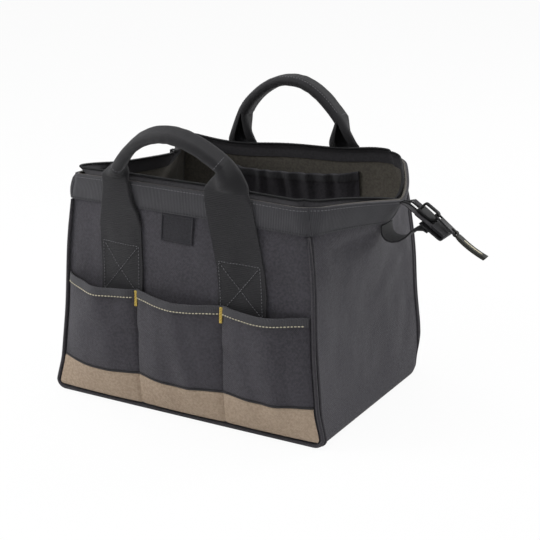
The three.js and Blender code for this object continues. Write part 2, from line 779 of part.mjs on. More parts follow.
function slider(frame) {
  const outline = plateOutline(sliderNose, sliderHeel, sliderNoseWidth / 2, sliderHeelWidth / 2);
  const full = asSolid(extruded(outline, 2 * plateOuter));
  const channelHalf = tailCoilOffset + coilRadius + plateGap;
  const channel = new THREE.BoxGeometry(2 * sliderLength, 2 * channelHalf, 2 * plateInner);
  const tapeSlit = new THREE.BoxGeometry(2 * sliderLength, 2 * sliderNoseWidth, 2 * lipSlit);
  const middle = (sliderNose + sliderHeel) / 2;
  channel.translate(middle, 0, 0);
  tapeSlit.translate(middle, 0, 0);
  const post = new THREE.Shape();
  const postCentre = sliderNose + diamondLength / 2 + 1;
  post.moveTo(postCentre - diamondLength / 2, 0);
  post.lineTo(postCentre, -diamondWidth / 2);
  post.lineTo(postCentre + diamondLength / 2, 0);
  post.lineTo(postCentre, diamondWidth / 2);
  post.closePath();
  const plates = full.subtract(asSolid(channel)).subtract(asSolid(tapeSlit));
  const joined = plates.add(asSolid(extruded(post, 2 * plateOuter - plateThickness)));
  add('slider', asGeometry(joined.add(crown())), blackMetal, frame);
}

// Crown: a flat bar bent over the pull tab's pivot at both ends
function crown() {
  const { s: back, n: pivotN } = crownPivot;
  const front = sliderNose + crownHole + crownBar + crownSetback;
  const foot = plateOuter - plateThickness / 2;
  const outerR = crownHole + crownBar;
  const side = new THREE.Shape();
  side.moveTo(front - outerR, foot);
  side.lineTo(back + outerR, foot);
  side.lineTo(back + outerR, pivotN);
  side.absarc(back, pivotN, outerR, 0, Math.PI / 2, false);
  side.lineTo(front, pivotN + outerR);
  side.absarc(front, pivotN, outerR, Math.PI / 2, Math.PI, false);
  side.closePath();
  const hole = new THREE.Path();
  hole.moveTo(front - crownHole, plateOuter);
  hole.lineTo(back + crownHole, plateOuter);
  hole.lineTo(back + crownHole, pivotN);
  hole.absarc(back, pivotN, crownHole, 0, Math.PI / 2, false);
  hole.lineTo(front, pivotN + crownHole);
  hole.absarc(front, pivotN, crownHole, Math.PI / 2, Math.PI, false);
  hole.closePath();
  side.holes.push(hole);
  const bar = extruded(side, crownWidth, 4);
  return asSolid(bar.rotateX(Math.PI / 2));
}

function ringHole(x0, x1, half) {
  const hole = new THREE.Path();
  hole.moveTo(x0, -half);
  hole.lineTo(x1, -half);
  hole.lineTo(x1, half);
  hole.lineTo(x0, half);
  hole.closePath();
  return hole;
}

// Pull tab: pivots on the bar that passes under the crown; the far slot takes the puller.
const tabBar = tabThickness / 2;
const pullerPivot = tabLength - tabEndBar / 2;

function pullTab(frame) {
  const pivot = new THREE.Group();
  pivot.position.set(crownPivot.s, 0, crownPivot.n);
  pivot.rotation.y = radians(tabDrop - tailDrop);
  frame.add(pivot);
  const half = tabWidth / 2;
  const neckHalf = half - tabNeck;
  const tip = half - tabBar;
  const outline = new THREE.Shape();
  outline.moveTo(-tabBar, -neckHalf);
  outline.lineTo(tabNeckLength, -neckHalf);
  outline.lineTo(tabLength - tip, -half);
  outline.quadraticCurveTo(tabLength, -half, tabLength, -half + tip);
  outline.lineTo(tabLength, half - tip);
  outline.quadraticCurveTo(tabLength, half, tabLength - tip, half);
  outline.lineTo(tabNeckLength, neckHalf);
  outline.lineTo(-tabBar, neckHalf);
  outline.closePath();
  outline.holes.push(ringHole(tabBar, tabBar + tabEyeLength, tabEyeWidth / 2));
  const slotEnd = tabLength - tabEndBar;
  outline.holes.push(ringHole(slotEnd - tabSlotLength, slotEnd, tabSlotWidth / 2));
  add('pull_tab', extruded(outline, tabThickness), blackMetal, pivot);
  puller(pivot);
}

// Puller: a moulded grip whose eye goes round the end bar of the tab
function puller(tabPivot) {
  const pivot = new THREE.Group();
  pivot.position.set(pullerPivot, 0, 0);
  pivot.rotation.y = radians(pullerDrop - tabDrop);
  tabPivot.add(pivot);
  const inner = tabEndBar / 2 + pullerRingPlay;
  const outer = inner + pullerRingBar;
  const eye = new THREE.Shape();
  eye.absarc(0, 0, outer, 0, 2 * Math.PI, false);
  const bore = new THREE.Path();
  bore.absarc(0, 0, inner, 0, 2 * Math.PI, true);
  eye.holes.push(bore);
  const ring = extruded(eye, pullerRingWidth, 12).rotateX(Math.PI / 2);
  const bodyStart = (inner + 2 * outer) / 3;
  const body = new THREE.Shape();
  const bend = (t) => pullerBend * t * t;
  const stations = spread(0, 1, 8);
  const nearHalf = (t) => lerp(pullerNeckThickness, pullerThickness, rise(0, 0.15, t)) / 2;
  stations.forEach((t, i) => {
    const method = i === 0 ? 'moveTo' : 'lineTo';
    body[method](bodyStart + t * pullerLength, bend(t) - nearHalf(t));
  });
  for (const t of [...stations].reverse()) {
    body.lineTo(bodyStart + t * pullerLength, bend(t) + nearHalf(t));
  }
  body.closePath();
  const grip = extruded(body, pullerWidth).rotateX(Math.PI / 2);
  add('puller', asGeometry(asSolid(ring).add(asSolid(grip))), rubber, pivot);
}

// Tail end: folded webbing that holds the tape ends, and the strap that ties it to the bag
function tailTab(frame) {
  const under = plateOuter + seamGap;
  const wallIn = tailLength + seamGap;
  const wallOut = wallIn + tailTabThickness;
  const lipLow = tapeThickness / 2 + seamGap;
  const lipHigh = lipLow + tailTabThickness;
  const start = wallOut - tailTabLength;
  const profile = new THREE.Shape();
  profile.moveTo(start, -under);
  profile.lineTo(start, -under - tailTabThickness);
  profile.lineTo(wallOut - tailTabFold, -under - tailTabThickness);
  profile.lineTo(wallOut, -under - tailTabThickness + tailTabFold);
  profile.lineTo(wallOut, lipHigh - tailTabFold);
  profile.lineTo(wallOut - tailTabFold, lipHigh);
  profile.lineTo(sliderHeel + seamGap, lipHigh);
  profile.lineTo(sliderHeel + seamGap, lipLow);
  profile.lineTo(wallIn, lipLow);
  profile.lineTo(wallIn, -under);
  profile.closePath();
  const folded = extruded(profile, tailTabWidth).rotateX(Math.PI / 2);
  add('tail_tab', folded, webbing, frame);
}

function tailStrap() {
  const under = plateOuter + tailTabThickness + 2 * seamGap + tailStrapThickness / 2;
  const startZ = lerp(bottomCornerRadius, endTop(ends.right, 0), hemShare) - 2 * seamGap;
  const lift = 2 * slantGap + tailStrapThickness / 2;
  const startX = endReach(ends.right, 0, startZ) + lift;
  const drooped = (reachShare, dropShare) =>
    new THREE.Vector3(startX + reachShare * tailStrapReach, 0, startZ - dropShare * tailStrapDroop);
  const lapStart = tailLength - tailStrapEnd - tailStrapLap;
  const points = [
    drooped(0, 0),
    drooped(0, 0.35),
    drooped(0.03, 0.7),
    drooped(0.14, 0.95),
    drooped(0.3, 1),
    drooped(0.5, 0.86),
    drooped(0.7, 0.5),
    drooped(0.86, 0),
    tailPoint(lapStart, 0, -under - tailStrapLap / 2),
    tailPoint(lapStart + tailStrapLap / 2, 0, -under - 2 * seamGap),
    tailPoint(lapStart + tailStrapLap, 0, -under),
  ];
  const path = new THREE.CatmullRomCurve3(points, false, 'centripetal');
  const skin = (off) => (y, t) => {
    const p = path.getPointAt(t);
    const tangent = path.getTangentAt(t);
    return [p.x + tangent.z * off, y, p.z - tangent.x * off];
  };
  const half = tailStrapThickness / 2;
  const columns = [-tailStrapWidth / 2, 0, tailStrapWidth / 2];
  add('tail_strap', sheet(columns, spread(0, 1, 24), skin(half), skin(-half)), webbing);
}

// Staple over both coils where the zipper starts, at the left end
function zipperStart() {
  const [x, , z] = tapeRow(rimStations(faces.front)[0], 2, 0.5);
  const inside = coilRadius * 2 + 2 * seamGap;
  const outline = new THREE.Shape();
  const outer = stopHalfWidth + stopWall;
  outline.moveTo(-outer, inside - stopLegDepth);
  outline.lineTo(-stopHalfWidth, inside - stopLegDepth);
  outline.lineTo(-stopHalfWidth, inside);
  outline.lineTo(stopHalfWidth, inside);
  outline.lineTo(stopHalfWidth, inside - stopLegDepth);
  outline.lineTo(outer, inside - stopLegDepth);
  outline.lineTo(outer, inside + stopWall);
  outline.lineTo(-outer, inside + stopWall);
  outline.closePath();
  const staple = extruded(outline, stopLength).rotateX(Math.PI / 2).translate(x, 0, z);
  add('zipper_start_stop', staple, blackMetal);
}

zipperStart();
bottomPieces();
for (const side of ['front', 'rear']) {
  facePanel(side);
  faceHem(side);
  piping(side);
  pockets(side);
  pocketTrims(side);
  bartacks(side);
  strapLegs(side);
  handle(side);
  zipperHalf(side);
}
for (const side of ['left', 'right']) {
  endPanel(side);
  endHem(side);
}
label();
innerPocket();
const frame = tailFrame();
slider(frame);
pullTab(frame);
tailTab(frame);
tailStrap();

export default bag;
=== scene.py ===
# %% [markdown]
# # Zippered tool bag
# A soft bag of heavy woven cloth stands open on the floor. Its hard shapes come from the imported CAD
# model, which is loaded as a fixed frame. Cloth, webbing, zipper and thread are made here on the
# lengths of the CAD solids, so each piece lies where its solid is, and only looks softer.

# %% Load the frame
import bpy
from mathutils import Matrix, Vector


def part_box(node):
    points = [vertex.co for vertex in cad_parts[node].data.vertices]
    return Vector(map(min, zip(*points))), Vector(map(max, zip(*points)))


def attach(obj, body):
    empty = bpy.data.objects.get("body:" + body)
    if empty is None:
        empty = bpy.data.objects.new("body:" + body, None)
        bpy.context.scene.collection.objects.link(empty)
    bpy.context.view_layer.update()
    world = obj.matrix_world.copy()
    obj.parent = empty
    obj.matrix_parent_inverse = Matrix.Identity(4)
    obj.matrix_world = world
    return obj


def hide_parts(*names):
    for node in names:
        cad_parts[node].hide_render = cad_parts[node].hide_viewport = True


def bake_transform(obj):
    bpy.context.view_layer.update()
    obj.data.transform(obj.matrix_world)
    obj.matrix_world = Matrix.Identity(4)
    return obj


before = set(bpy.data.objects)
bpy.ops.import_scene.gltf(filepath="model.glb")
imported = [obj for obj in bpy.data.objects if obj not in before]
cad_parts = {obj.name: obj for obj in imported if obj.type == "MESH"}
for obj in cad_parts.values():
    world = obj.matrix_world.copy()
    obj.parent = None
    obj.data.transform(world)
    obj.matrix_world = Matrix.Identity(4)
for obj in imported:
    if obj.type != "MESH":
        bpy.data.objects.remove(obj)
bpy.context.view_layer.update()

# %% [markdown]
# Blender's own modules do the modelling: `bpy` runs the operators that the menus have, and `mathutils`
# has vectors and a smooth noise that is the same on each run.

# %% Modules
import math
from functools import lru_cache

import bpy
from mathutils import Vector, noise

print("Blender", bpy.app.version_string)

# %% [markdown]
# ## Lengths of the bag
# The body is a box of cloth that is wider at the floor than at the rim. All lengths are in
# millimetres, as in the CAD source, and are turned into metres when a mesh is filled. They could be
# read off the boxes of the CAD nodes, but the box of a slanted wall doesn't say how it slants.

# %% Body lengths
MM = 0.001
BOTTOM_LENGTH, TOP_LENGTH = 316, 265
BOTTOM_WIDTH, TOP_WIDTH = 227, 206
RIM = 238
CLOTH = 2.4
GAP = 0.3
BOTTOM_RADIUS = 10
BULGE_FULL, BULGE_FALL = 72, 180
RIDGE_ROUNDING = 0.1
HEM_TOP, HEM_BOTTOM = 232, 206.5
HEM_THICKNESS = 1.6
TAPE_BOTTOM, TAPE_TOP, TIP_HEIGHT = 222, 236.2, 223
FACES = {"front": {"out": -1, "bulge": 11, "tilt": 21}, "rear": {"out": 1, "bulge": 9, "tilt": 0}}
ENDS = {
    "left": {"out": -1, "depth": -45, "start": 90, "power": 1.6, "drop": 0, "tip": 0.3},
    "right": {"out": 1, "depth": 53, "start": 60, "power": 3, "drop": 10, "tip": 0},
}
print("rim at", RIM, "mm, hem from", HEM_BOTTOM, "to", HEM_TOP, "mm")

# %% [markdown]
# Every curved wall is a formula of height and of the place along it. Small helpers mix, clamp and
# ease values, so that the formulas stay readable.

# %% Small helpers for numbers
def lerp(a, b, share):
    return a + (b - a) * share


def clamp(value, low=0.0, high=1.0):
    return max(low, min(high, value))


def rise(low, high, value):
    share = clamp((value - low) / (high - low))
    return share * share * (3 - 2 * share)


def bump(value, centre, width):
    return math.exp(-(((value - centre) / width) ** 2))


def ripple(x, y, seed):
    return noise.noise(Vector((x, y, seed)))


print("rise at the middle:", rise(0, 1, 0.5))

# %% [markdown]
# ## Outline of the bag
# Every wall starts from two lengths: how far the bag reaches along and across at a height. Both shrink
# evenly toward the rim, and the long one is drawn in a little above the floor. A cage could be modelled
# instead, but with formulas every later piece can ask where a wall is.

# %% Outline of the bag
WAIST = 4


def half_length(z):
    waist = WAIST * rise(4, 40, z) * (1 - rise(80, 170, z))
    return lerp(BOTTOM_LENGTH, TOP_LENGTH, z / RIM) / 2 - waist


def half_width(z):
    return lerp(BOTTOM_WIDTH, TOP_WIDTH, z / RIM) / 2


ARC_X = half_length(BOTTOM_RADIUS) - BOTTOM_RADIUS


def corner_x(z):
    """How far along the bag a face reaches, round its bottom corner too."""
    if z >= BOTTOM_RADIUS:
        return half_length(z)
    return ARC_X + math.sqrt(BOTTOM_RADIUS**2 - (BOTTOM_RADIUS - z) ** 2)


print("half length at the floor and the rim:", round(half_length(0), 1), round(half_length(RIM), 1), "mm")

# %% [markdown]
# ## Creases
# Real cloth is never a clean curve. Sculpting by hand would differ on each run, so creases are written
# as soft hills along lines, plus smooth noise with a fixed seed. They are part of the wall's formula,
# so the hem, straps and label that lie on a wall follow it and nothing pokes through.

# %% Creases of the faces and ends
def face_crease(side, x, z):
    seed = 3.1 if side == "front" else 11.7
    calm = rise(0, 30, half_length(z) - abs(x)) * rise(112, 150, z)
    pull = ripple((x + 0.5 * z) / 34, z / 80, seed) + 0.5 * ripple(x / 17, z / 60, seed + 5)
    wave = 0.8 * ripple(x / 40, 0, seed + 9) * rise(185, 215, z)
    return calm * (2.2 * pull * (1 - rise(175, 204, z)) + wave)


def slanted(y, z, y0, z0, y1, z1, width):
    """Height of a soft fold that runs from one point of an end to another."""
    along = Vector((y1 - y0, z1 - z0))
    spot = Vector((y - y0, z - z0))
    share = spot.dot(along) / along.length_squared
    off = abs(spot.x * along.y - spot.y * along.x) / along.length
    fade = rise(-0.25, 0.2, share) * (1 - rise(0.75, 1.2, share))
    return fade * bump(off, 0, width)


RIGHT_FOLDS = [
    (-75, 186, 20, 196, 12, -3.2), (-95, 120, -30, 70, 14, 1.6), (10, 95, 92, 168, 13, 1.5),
    (52, 186, 95, 140, 8, 1.8), (-70, 150, 10, 120, 20, -1.6), (70, 40, 96, 95, 12, -1.6),
]
LEFT_FOLDS = [(-70, 60, -5, 190, 9, 2.0), (70, 60, 5, 190, 9, 2.0), (-20, 40, 40, 110, 11, 1.5)]


def end_crease(side, y, z):
    folds = RIGHT_FOLDS if side == "right" else LEFT_FOLDS
    seed = 21.3 if side == "right" else 31.9
    calm = rise(0, 26, half_width(z) - abs(y)) * rise(14, 45, z) * (1 - rise(186, 207, z))
    total = 1.9 * ripple(y / 44, z / 52, seed) + 0.5 * ripple(y / 17, z / 26, seed + 3)
    for y0, z0, y1, z1, width, height in folds:
        total += height * slanted(y, z, y0, z0, y1, z1, width)
    return calm * total


print("crease in the front's middle:", round(face_crease("front", 0, 160), 2), "mm")

# %% [markdown]
# ## Walls
# The faces bulge in the middle, and the ends fold along an upright ridge: the left one inward, the right
# one outward to the zipper's tail. A reach says how far out a wall is. A point adds a distance off the
# wall, and that is how tapes and straps come to lie on top.

# %% Walls of the bag
LEFT_PUFF = 6


def bulge_profile(z):
    up = math.sin(math.pi / 2 * min(z / BULGE_FULL, 1))
    return up * (1 - rise(BULGE_FALL, RIM, z))


def face_reach(side, x, z):
    across = max(1 - (x / half_length(z)) ** 2, 0)
    return half_width(z) + FACES[side]["bulge"] * across * bulge_profile(z) + face_crease(side, x, z)


def face_point(side, x, z, off):
    return x, FACES[side]["out"] * (face_reach(side, x, z) + off), z


def ridge_reach(z):
    return half_width(z) - CLOTH - 2 * GAP


def ridge(y, z):
    """1 on an end's upright ridge and 0 at its corners, rounded at the ridge."""
    share = min(abs(y) / ridge_reach(z), 1)
    far = math.hypot(1, RIDGE_ROUNDING)
    return (far - math.hypot(share, RIDGE_ROUNDING)) / (far - RIDGE_ROUNDING)


def end_reach(side, y, z):
    end = ENDS[side]
    share = clamp((z - end["start"]) / (HEM_TOP - end["start"]), 0, 1.1)
    puff = LEFT_PUFF * bump(abs(y), 84, 15) * rise(165, 230, z) if side == "left" else 0
    fold = end["depth"] * share ** end["power"] * ridge(y, z)
    return half_length(z) + fold + end_crease(side, y, z) + puff


def end_point(side, y, z, off):
    return ENDS[side]["out"] * (end_reach(side, y, z) + off), y, z


def end_top(side, t):
    """Height of an end's top edge, at a share of the way from its middle to a corner."""
    return HEM_TOP - ENDS[side]["drop"] * (1 - min(abs(t), 1)) ** 2


print("right end at the rim:", round(end_reach("right", 0, end_top("right", 0)), 1), "mm out")

# %% [markdown]
# ## How the cloth gives
# The rim isn't level or straight. Behind, it dips toward the left, where nothing props it. In front, the
# handle's weight bows it outwards. Its sewn corners are drawn in, and so are the rear corners at the
# floor. The left front corner is crumpled and flares, and the right side swells toward the rear. A
# lattice could be pulled by hand, but one field moves every piece by its place alone, so that hem, tape,
# coil and strap go together.

# %% How the whole bag gives
RIM_CORNER, FLOOR_CORNER, FRONT_LEFT_SHARE = 20, 24, 0.35
REAR_LIFT, REAR_SAG = 6.5, 8
BOW_OUT, BOW_UP = 7, 4
HEM_SWELL, RIM_NECK, TAPE_FLARE = 2.5, 2.5, 9
LOW_SWELL, HIGH_SWELL = 4, 2


def slump(x, y, z):
    """How far the rear rim is lifted at its right and sags at its left."""
    rear = rise(35, 95, y) * rise(150, 228, z) * (1 - rise(243, 280, z))
    return rear * (REAR_LIFT * bump(x, 112, 38) - REAR_SAG * bump(x, -72, 62))


def bow(x, y, z):
    """How much of its greatest bow the front rim has here."""
    across = max(1 - (x / half_length(RIM)) ** 2, 0)
    return across * rise(40, 95, -y)


def round_corner(x, y, z, radius):
    """Draw a sewn corner inwards to a round corner, seen from above."""
    over_x = abs(x) - (half_length(z) - radius)
    over_y = abs(y) - (half_width(z) - radius)
    if radius < 0.1 or over_x <= 0 or over_y <= 0:
        return x, y
    keep = max(over_x, over_y) / math.hypot(over_x, over_y)
    hand_x, hand_y = math.copysign(1, x), math.copysign(1, y)
    return x - hand_x * over_x * (1 - keep), y - hand_y * over_y * (1 - keep)


def crumple(x, y, z):
    """The left front corner of the rim: the hem swells, and the tape above it flares to an oval mouth."""
    near = rise(96, 122, -x) * rise(50, 92, -y)
    hem = HEM_SWELL * bump(z, 217, 11) - RIM_NECK * bump(z, 231.5, 3)
    return near * (hem + TAPE_FLARE * rise(231, 237, z))


def given(x, y, z):
    """Where a point of the bag lies once the cloth has given way."""
    x -= crumple(x, y, z)
    out = bow(x, y, z)
    lower = FLOOR_CORNER * (1 - rise(4, 44, z)) if y > 0 else 0
    upper = RIM_CORNER * (FRONT_LEFT_SHARE if x < 0 > y else 1)
    x, y = round_corner(x, y, z, upper * rise(178, 236, z) + lower)
    if x > 0:
        low, high = rise(0, 60, z) * (1 - rise(120, 215, z)), rise(170, 220, z)
        x += (LOW_SWELL * low + HIGH_SWELL * high) * rise(10, 100, y)
    lift = slump(x, y, z) + BOW_UP * out * rise(140, 205, z)
    return x, y - BOW_OUT * out * rise(186, 236, z), z + lift


rim_middle = given(0, -half_width(RIM), RIM)
print("the front rim's middle lies at", [round(c, 1) for c in rim_middle], "mm")

# %% [markdown]
# ## Materials
# Shader maths is easier to read as Python expressions. A `Wire` wraps one socket, and an operator on
# it adds the matching Math node. Any other node comes from one method of `Finish`.

# %% Wires
class Wire:
    """One output socket of a finish."""

    def __init__(self, finish, socket):
        self.finish = finish
        self.socket = socket

    def maths(self, operation, *values):
        inputs = dict(enumerate(values))
        return self.finish.node("ShaderNodeMath", {"operation": operation}, inputs)

    def __add__(self, other):
        return self.maths("ADD", self, other)

    def __sub__(self, other):
        return self.maths("SUBTRACT", self, other)

    def __rsub__(self, other):
        return self.maths("SUBTRACT", other, self)

    def __mul__(self, other):
        return self.maths("MULTIPLY", self, other)

    def __gt__(self, other):
        return self.maths("GREATER_THAN", self, other)

    def __abs__(self):
        return self.maths("ABSOLUTE", self)

    __radd__ = __add__
    __rmul__ = __mul__

    def sine(self):
        return self.maths("SINE", self)

    def power(self, other):
        return self.maths("POWER", self, other)


print("wires ready")

# %% [markdown]
# A `Finish` is one material. It could be built node by node in the shader editor, but as a recipe in
# code it can be made again in another colour or pitch.

# %% Finishes
class Finish:
    """A material made of nodes."""

    def __init__(self, name):
        self.material = bpy.data.materials.new(name)
        self.material.use_nodes = True
        self.tree = self.material.node_tree
        self.tree.nodes.clear()
        output = self.tree.nodes.new("ShaderNodeOutputMaterial")
        self.shader = self.tree.nodes.new("ShaderNodeBsdfPrincipled")
        self.tree.links.new(self.shader.outputs[0], output.inputs[0])

    def feed(self, socket, value):
        if isinstance(value, Wire):
            self.tree.links.new(value.socket, socket)
        else:
            socket.default_value = value

    def node(self, kind, settings=None, inputs=None, output=0):
        node = self.tree.nodes.new(kind)
        for name, value in (settings or {}).items():
            if name == "stops":
                self.set_stops(node.color_ramp, value)
            else:
                setattr(node, name, value)
        for name, value in (inputs or {}).items():
            self.feed(node.inputs[name], value)
        return Wire(self, node.outputs[output])

    def set_stops(self, ramp, stops):
        while len(ramp.elements) < len(stops):
            ramp.elements.new(0.5)
        for element, (place, grey) in zip(ramp.elements, stops):
            element.position = place
            element.color = (grey, grey, grey, 1)

    def set(self, **values):
        for name, value in values.items():
            self.feed(self.shader.inputs[name.replace("_", " ")], value)

    def mix(self, share, a, b):
        return self.node("ShaderNodeMix", {"data_type": "RGBA"}, {0: share, 6: a, 7: b}, output=2)

    def spots(self, scale, detail=3.0, where=None):
        inputs = {"Scale": scale, "Detail": detail, "Vector": where or self.place()}
        return self.node("ShaderNodeTexNoise", None, inputs)

    def place(self):
        return self.node("ShaderNodeTexCoord", None, None, output=3)

    def cloth_way(self):
        """The piece's UV map, in metres along and across the cloth."""
        split = self.node("ShaderNodeSeparateXYZ", None, {0: self.node("ShaderNodeUVMap")})
        return split, Wire(self, split.socket.node.outputs[1])

    def relief(self, height, strength, distance):
        inputs = {"Height": height, "Strength": strength, "Distance": distance}
        self.set(Normal=self.node("ShaderNodeBump", None, inputs))


print("finishes ready")

# %% [markdown]
# Colours are written as paint programs show them, as six hexadecimal digits. The shader counts light
# instead, so each part is turned into a linear one.

# %% Colours
def tone(text):
    """A colour written as six hexadecimal digits, as a linear colour."""
    parts = [int(text[i:i + 2], 16) / 255 for i in (0, 2, 4)]
    return tuple(c / 12.92 if c <= 0.04045 else ((c + 0.055) / 1.055) ** 2.4 for c in parts) + (1,)


print("a middle grey is", round(tone("808080")[0], 3))

# %% [markdown]
# Woven cloth is threads that go over and under each other. A weave can be drawn as two rows of round
# threads and a chequer that says which one lies on top. It reads the UV map in metres, so the threads
# keep their size and follow the folds. Broad faint spots and a little lint break up the colour. A
# picture of cloth would blur from near, and a formula stays sharp.

# %% Woven cloth
CLOTH_PITCH, TAN_PITCH, FINE_PITCH = 0.0011, 0.0012, 0.0008


def weave(finish, pitch):
    across, along = finish.cloth_way()
    turn = math.pi / pitch
    warp = (across * turn).sine()
    weft = (along * turn).sine()
    over = warp * weft > 0
    return over * abs(warp) + (1 - over) * abs(weft)


def woven_cloth(name, light, dark, pitch, roughness, sheen, depth=0.00035, inner=None):
    finish = Finish(name)
    threads = weave(finish, pitch)
    broad = finish.spots(9)
    fine = finish.spots(140)
    worn = finish.node("ShaderNodeValToRGB", {"stops": [(0.35, 0), (0.7, 1)]}, {0: broad})
    specks = {0: finish.spots(420, 2)}
    speck = finish.node("ShaderNodeValToRGB", {"stops": [(0.36, 0.45), (0.64, 1)]}, specks)
    thread_share = threads.power(0.7) * (0.75 + 0.25 * fine) * speck
    base = finish.mix(thread_share, tone(dark), tone(light))
    lifted = finish.mix(worn * 0.22, base, tone(light))
    # The face marked inside takes the inner colours: the coated reverse is paler, and they are lifted further
    # as painted light for the dim inside of the bag.
    if inner:
        inside = finish.node("ShaderNodeAttribute", {"attribute_name": "inside"}, None, output=2)
        lifted = finish.mix(inside, lifted, finish.mix(thread_share, tone(inner[1]), tone(inner[0])))
    finish.set(Base_Color=lifted, Roughness=roughness - 0.12 * threads, Sheen_Weight=sheen)
    finish.set(Specular_IOR_Level=0.35)
    finish.relief(threads + 0.35 * fine, 0.8, depth)
    return finish.material


print("threads of the bag's cloth lie", CLOTH_PITCH / MM, "mm apart")

# %% [markdown]
# Webbing and hem tape are woven in ribs. The rib runs along one way of the UV map, and finer threads
# cross it. One recipe serves both, with the way of the ribs and the pitch as its values.

# %% Ribbed tape
def ribbed_tape(name, light, dark, rib_pitch, thread_pitch, roughness, ribs_across=True, depth=0.0005):
    finish = Finish(name)
    across, along = finish.cloth_way()
    rib_way, thread_way = (along, across) if ribs_across else (across, along)
    swing = (rib_way * (math.pi / rib_pitch)).sine()
    rib = abs(swing).power(0.6)
    shift = swing > 0
    thread = abs((thread_way * (math.pi / thread_pitch) + shift * (math.pi / 2)).sine())
    fine = finish.spots(190)
    share = rib * (0.55 + 0.45 * thread) * (0.7 + 0.3 * fine)
    worn = finish.spots(14)
    base = finish.mix(share, tone(dark), tone(light))
    dusty = finish.mix(worn.power(3) * 0.35, base, tone(light))
    finish.set(Base_Color=dusty, Roughness=roughness - 0.1 * rib, Specular_IOR_Level=0.4, Sheen_Weight=0.1)
    finish.relief(rib + 0.35 * thread, 0.9, depth)
    return finish.material


print("recipe for ribbed tape ready")

# %% [markdown]
# Thread, nylon, painted metal, rubber, foam and board are plainer. Each still has its own grain:
# thread is twisted, paint is worn where it rubs, and rubber and board are faintly pitted.

# %% Thread, nylon, metal, rubber, foam and board
def twisted_thread(name, light, dark):
    finish = Finish(name)
    across, along = finish.cloth_way()
    twist = abs((along * 2600 + across * 900).sine())
    fuzz = finish.spots(900, 1)
    finish.set(Base_Color=finish.mix(twist * (0.5 + fuzz), tone(dark), tone(light)))
    finish.set(Roughness=0.75 - 0.2 * twist)
    finish.relief(twist, 0.5, 0.0002)
    return finish.material


def grained(name, light, dark, scale, roughness, depth, metallic=0.0, coat=0.0):
    finish = Finish(name)
    grain = finish.spots(scale, 4)
    broad = finish.spots(scale / 14, 2)
    worn = finish.node("ShaderNodeValToRGB", {"stops": [(0.55, 0), (0.72, 1)]}, {0: broad})
    finish.set(Base_Color=finish.mix(worn * 0.5 + 0.3 * grain, tone(dark), tone(light)))
    finish.set(Roughness=roughness + 0.18 * grain - 0.08 * worn, Metallic=metallic, Coat_Weight=coat)
    finish.relief(grain, 0.4, depth)
    return finish.material


FINISHES = {
    # The cloth's inner colours are its paler coated reverse, lightened further as painted light inside the
    # bag.
    "cloth": woven_cloth("cloth", "535057", "29272b", CLOTH_PITCH, 0.9, 0.12, inner=("7d776c", "4a463f")),
    "tan_cloth": woven_cloth("tan_cloth", "cbb6a0", "947f6a", TAN_PITCH, 0.9, 0.08),
    "label_cloth": woven_cloth("label_cloth", "2e2c33", "121116", 0.0006, 0.75, 0.1, 0.00015),
    "webbing": ribbed_tape("webbing", "2c2b2e", "131214", 0.0015, 0.0011, 0.85, depth=0.0004),
    "hem_tape": ribbed_tape("hem_tape", "504f53", "29282b", 0.0017, 0.0012, 0.85, ribs_across=False),
    "welt_cloth": woven_cloth("welt_cloth", "48454a", "29272b", FINE_PITCH, 0.88, 0.1, 0.0002),
    "zipper_tape": woven_cloth("zipper_tape", "4a484b", "2b2a2d", FINE_PITCH, 0.9, 0.05, 0.0002),
    "zipper_coil": grained("zipper_coil", "2c2c2f", "131315", 700, 0.6, 0.00004),
    "black_metal": grained("black_metal", "39393b", "101011", 260, 0.42, 0.00006, metallic=0.45),
    "puller_rubber": grained("puller_rubber", "2f2f28", "17170f", 420, 0.55, 0.0001),
    "foam": grained("foam", "3a3a3a", "1c1c1c", 500, 0.95, 0.0004),
    "board": grained("board", "2f2f31", "19191b", 320, 0.85, 0.0002),
    "yellow_thread": twisted_thread("yellow_thread", "ecd06a", "8f7430"),
    "cream_thread": twisted_thread("cream_thread", "e2dac0", "a39b82"),
    "dark_thread": twisted_thread("dark_thread", "3a3a3d", "121214"),
    "grey_thread": twisted_thread("grey_thread", "8a888c", "444347"),
}
print("finishes:", len(FINISHES))

# %% [markdown]
# ## How the soft pieces are made
# An operator acts on all that is selected, as it does when a hand clicks it. So each helper first
# selects only its own piece. Modifiers are applied at once, so a piece is a plain mesh when it is done.

# %% Selecting, modifiers and edit mode
def alone(piece=None):
    """Deselect everything, then select one piece."""
    bpy.ops.object.select_all(action="DESELECT")
    if piece:
        piece.select_set(True)
        bpy.context.view_layer.objects.active = piece


def apply_modifier(piece, kind, **settings):
    alone(piece)
    modifier = piece.modifiers.new(kind.title(), kind)
    for name, value in settings.items():
        setattr(modifier, name, value)
    bpy.ops.object.modifier_apply(modifier=modifier.name)


def in_edit_mode(piece, *steps):
    """Run steps of edit mode on all of a piece."""
    alone(piece)
    bpy.ops.object.mode_set(mode="EDIT")
    bpy.ops.mesh.select_all(action="SELECT")
    for step in steps:
        step()
    bpy.ops.object.mode_set(mode="OBJECT")


print("helpers for selecting ready")

# %% [markdown]
# A sheet starts as a flat grid from the primitive operator. Each of its points is then laid on the
# wall by the wall's formula, and a Solidify modifier gives the cloth its thickness. That keeps clean
# rows along the folds, a UV map in real lengths, and a closed piece with no stray faces.

# %% Grids and thickness
def grid(name, cells, place, size):
    """Lay a grid on place(u, v), given in millimetres. size is the cloth's flat width and length."""
    alone()
    bpy.ops.mesh.primitive_grid_add(x_subdivisions=cells[0], y_subdivisions=cells[1], size=1)
    piece = bpy.context.active_object
    piece.name = piece.data.name = name
    spots = []
    for vertex in piece.data.vertices:
        spots.extend(c * MM for c in place(vertex.co.x + 0.5, vertex.co.y + 0.5))
    piece.data.vertices.foreach_set("co", spots)
    for corner in piece.data.uv_layers.active.data:
        corner.uv = corner.uv[0] * size[0] * MM, corner.uv[1] * size[1] * MM
    piece.data.update()
    return piece


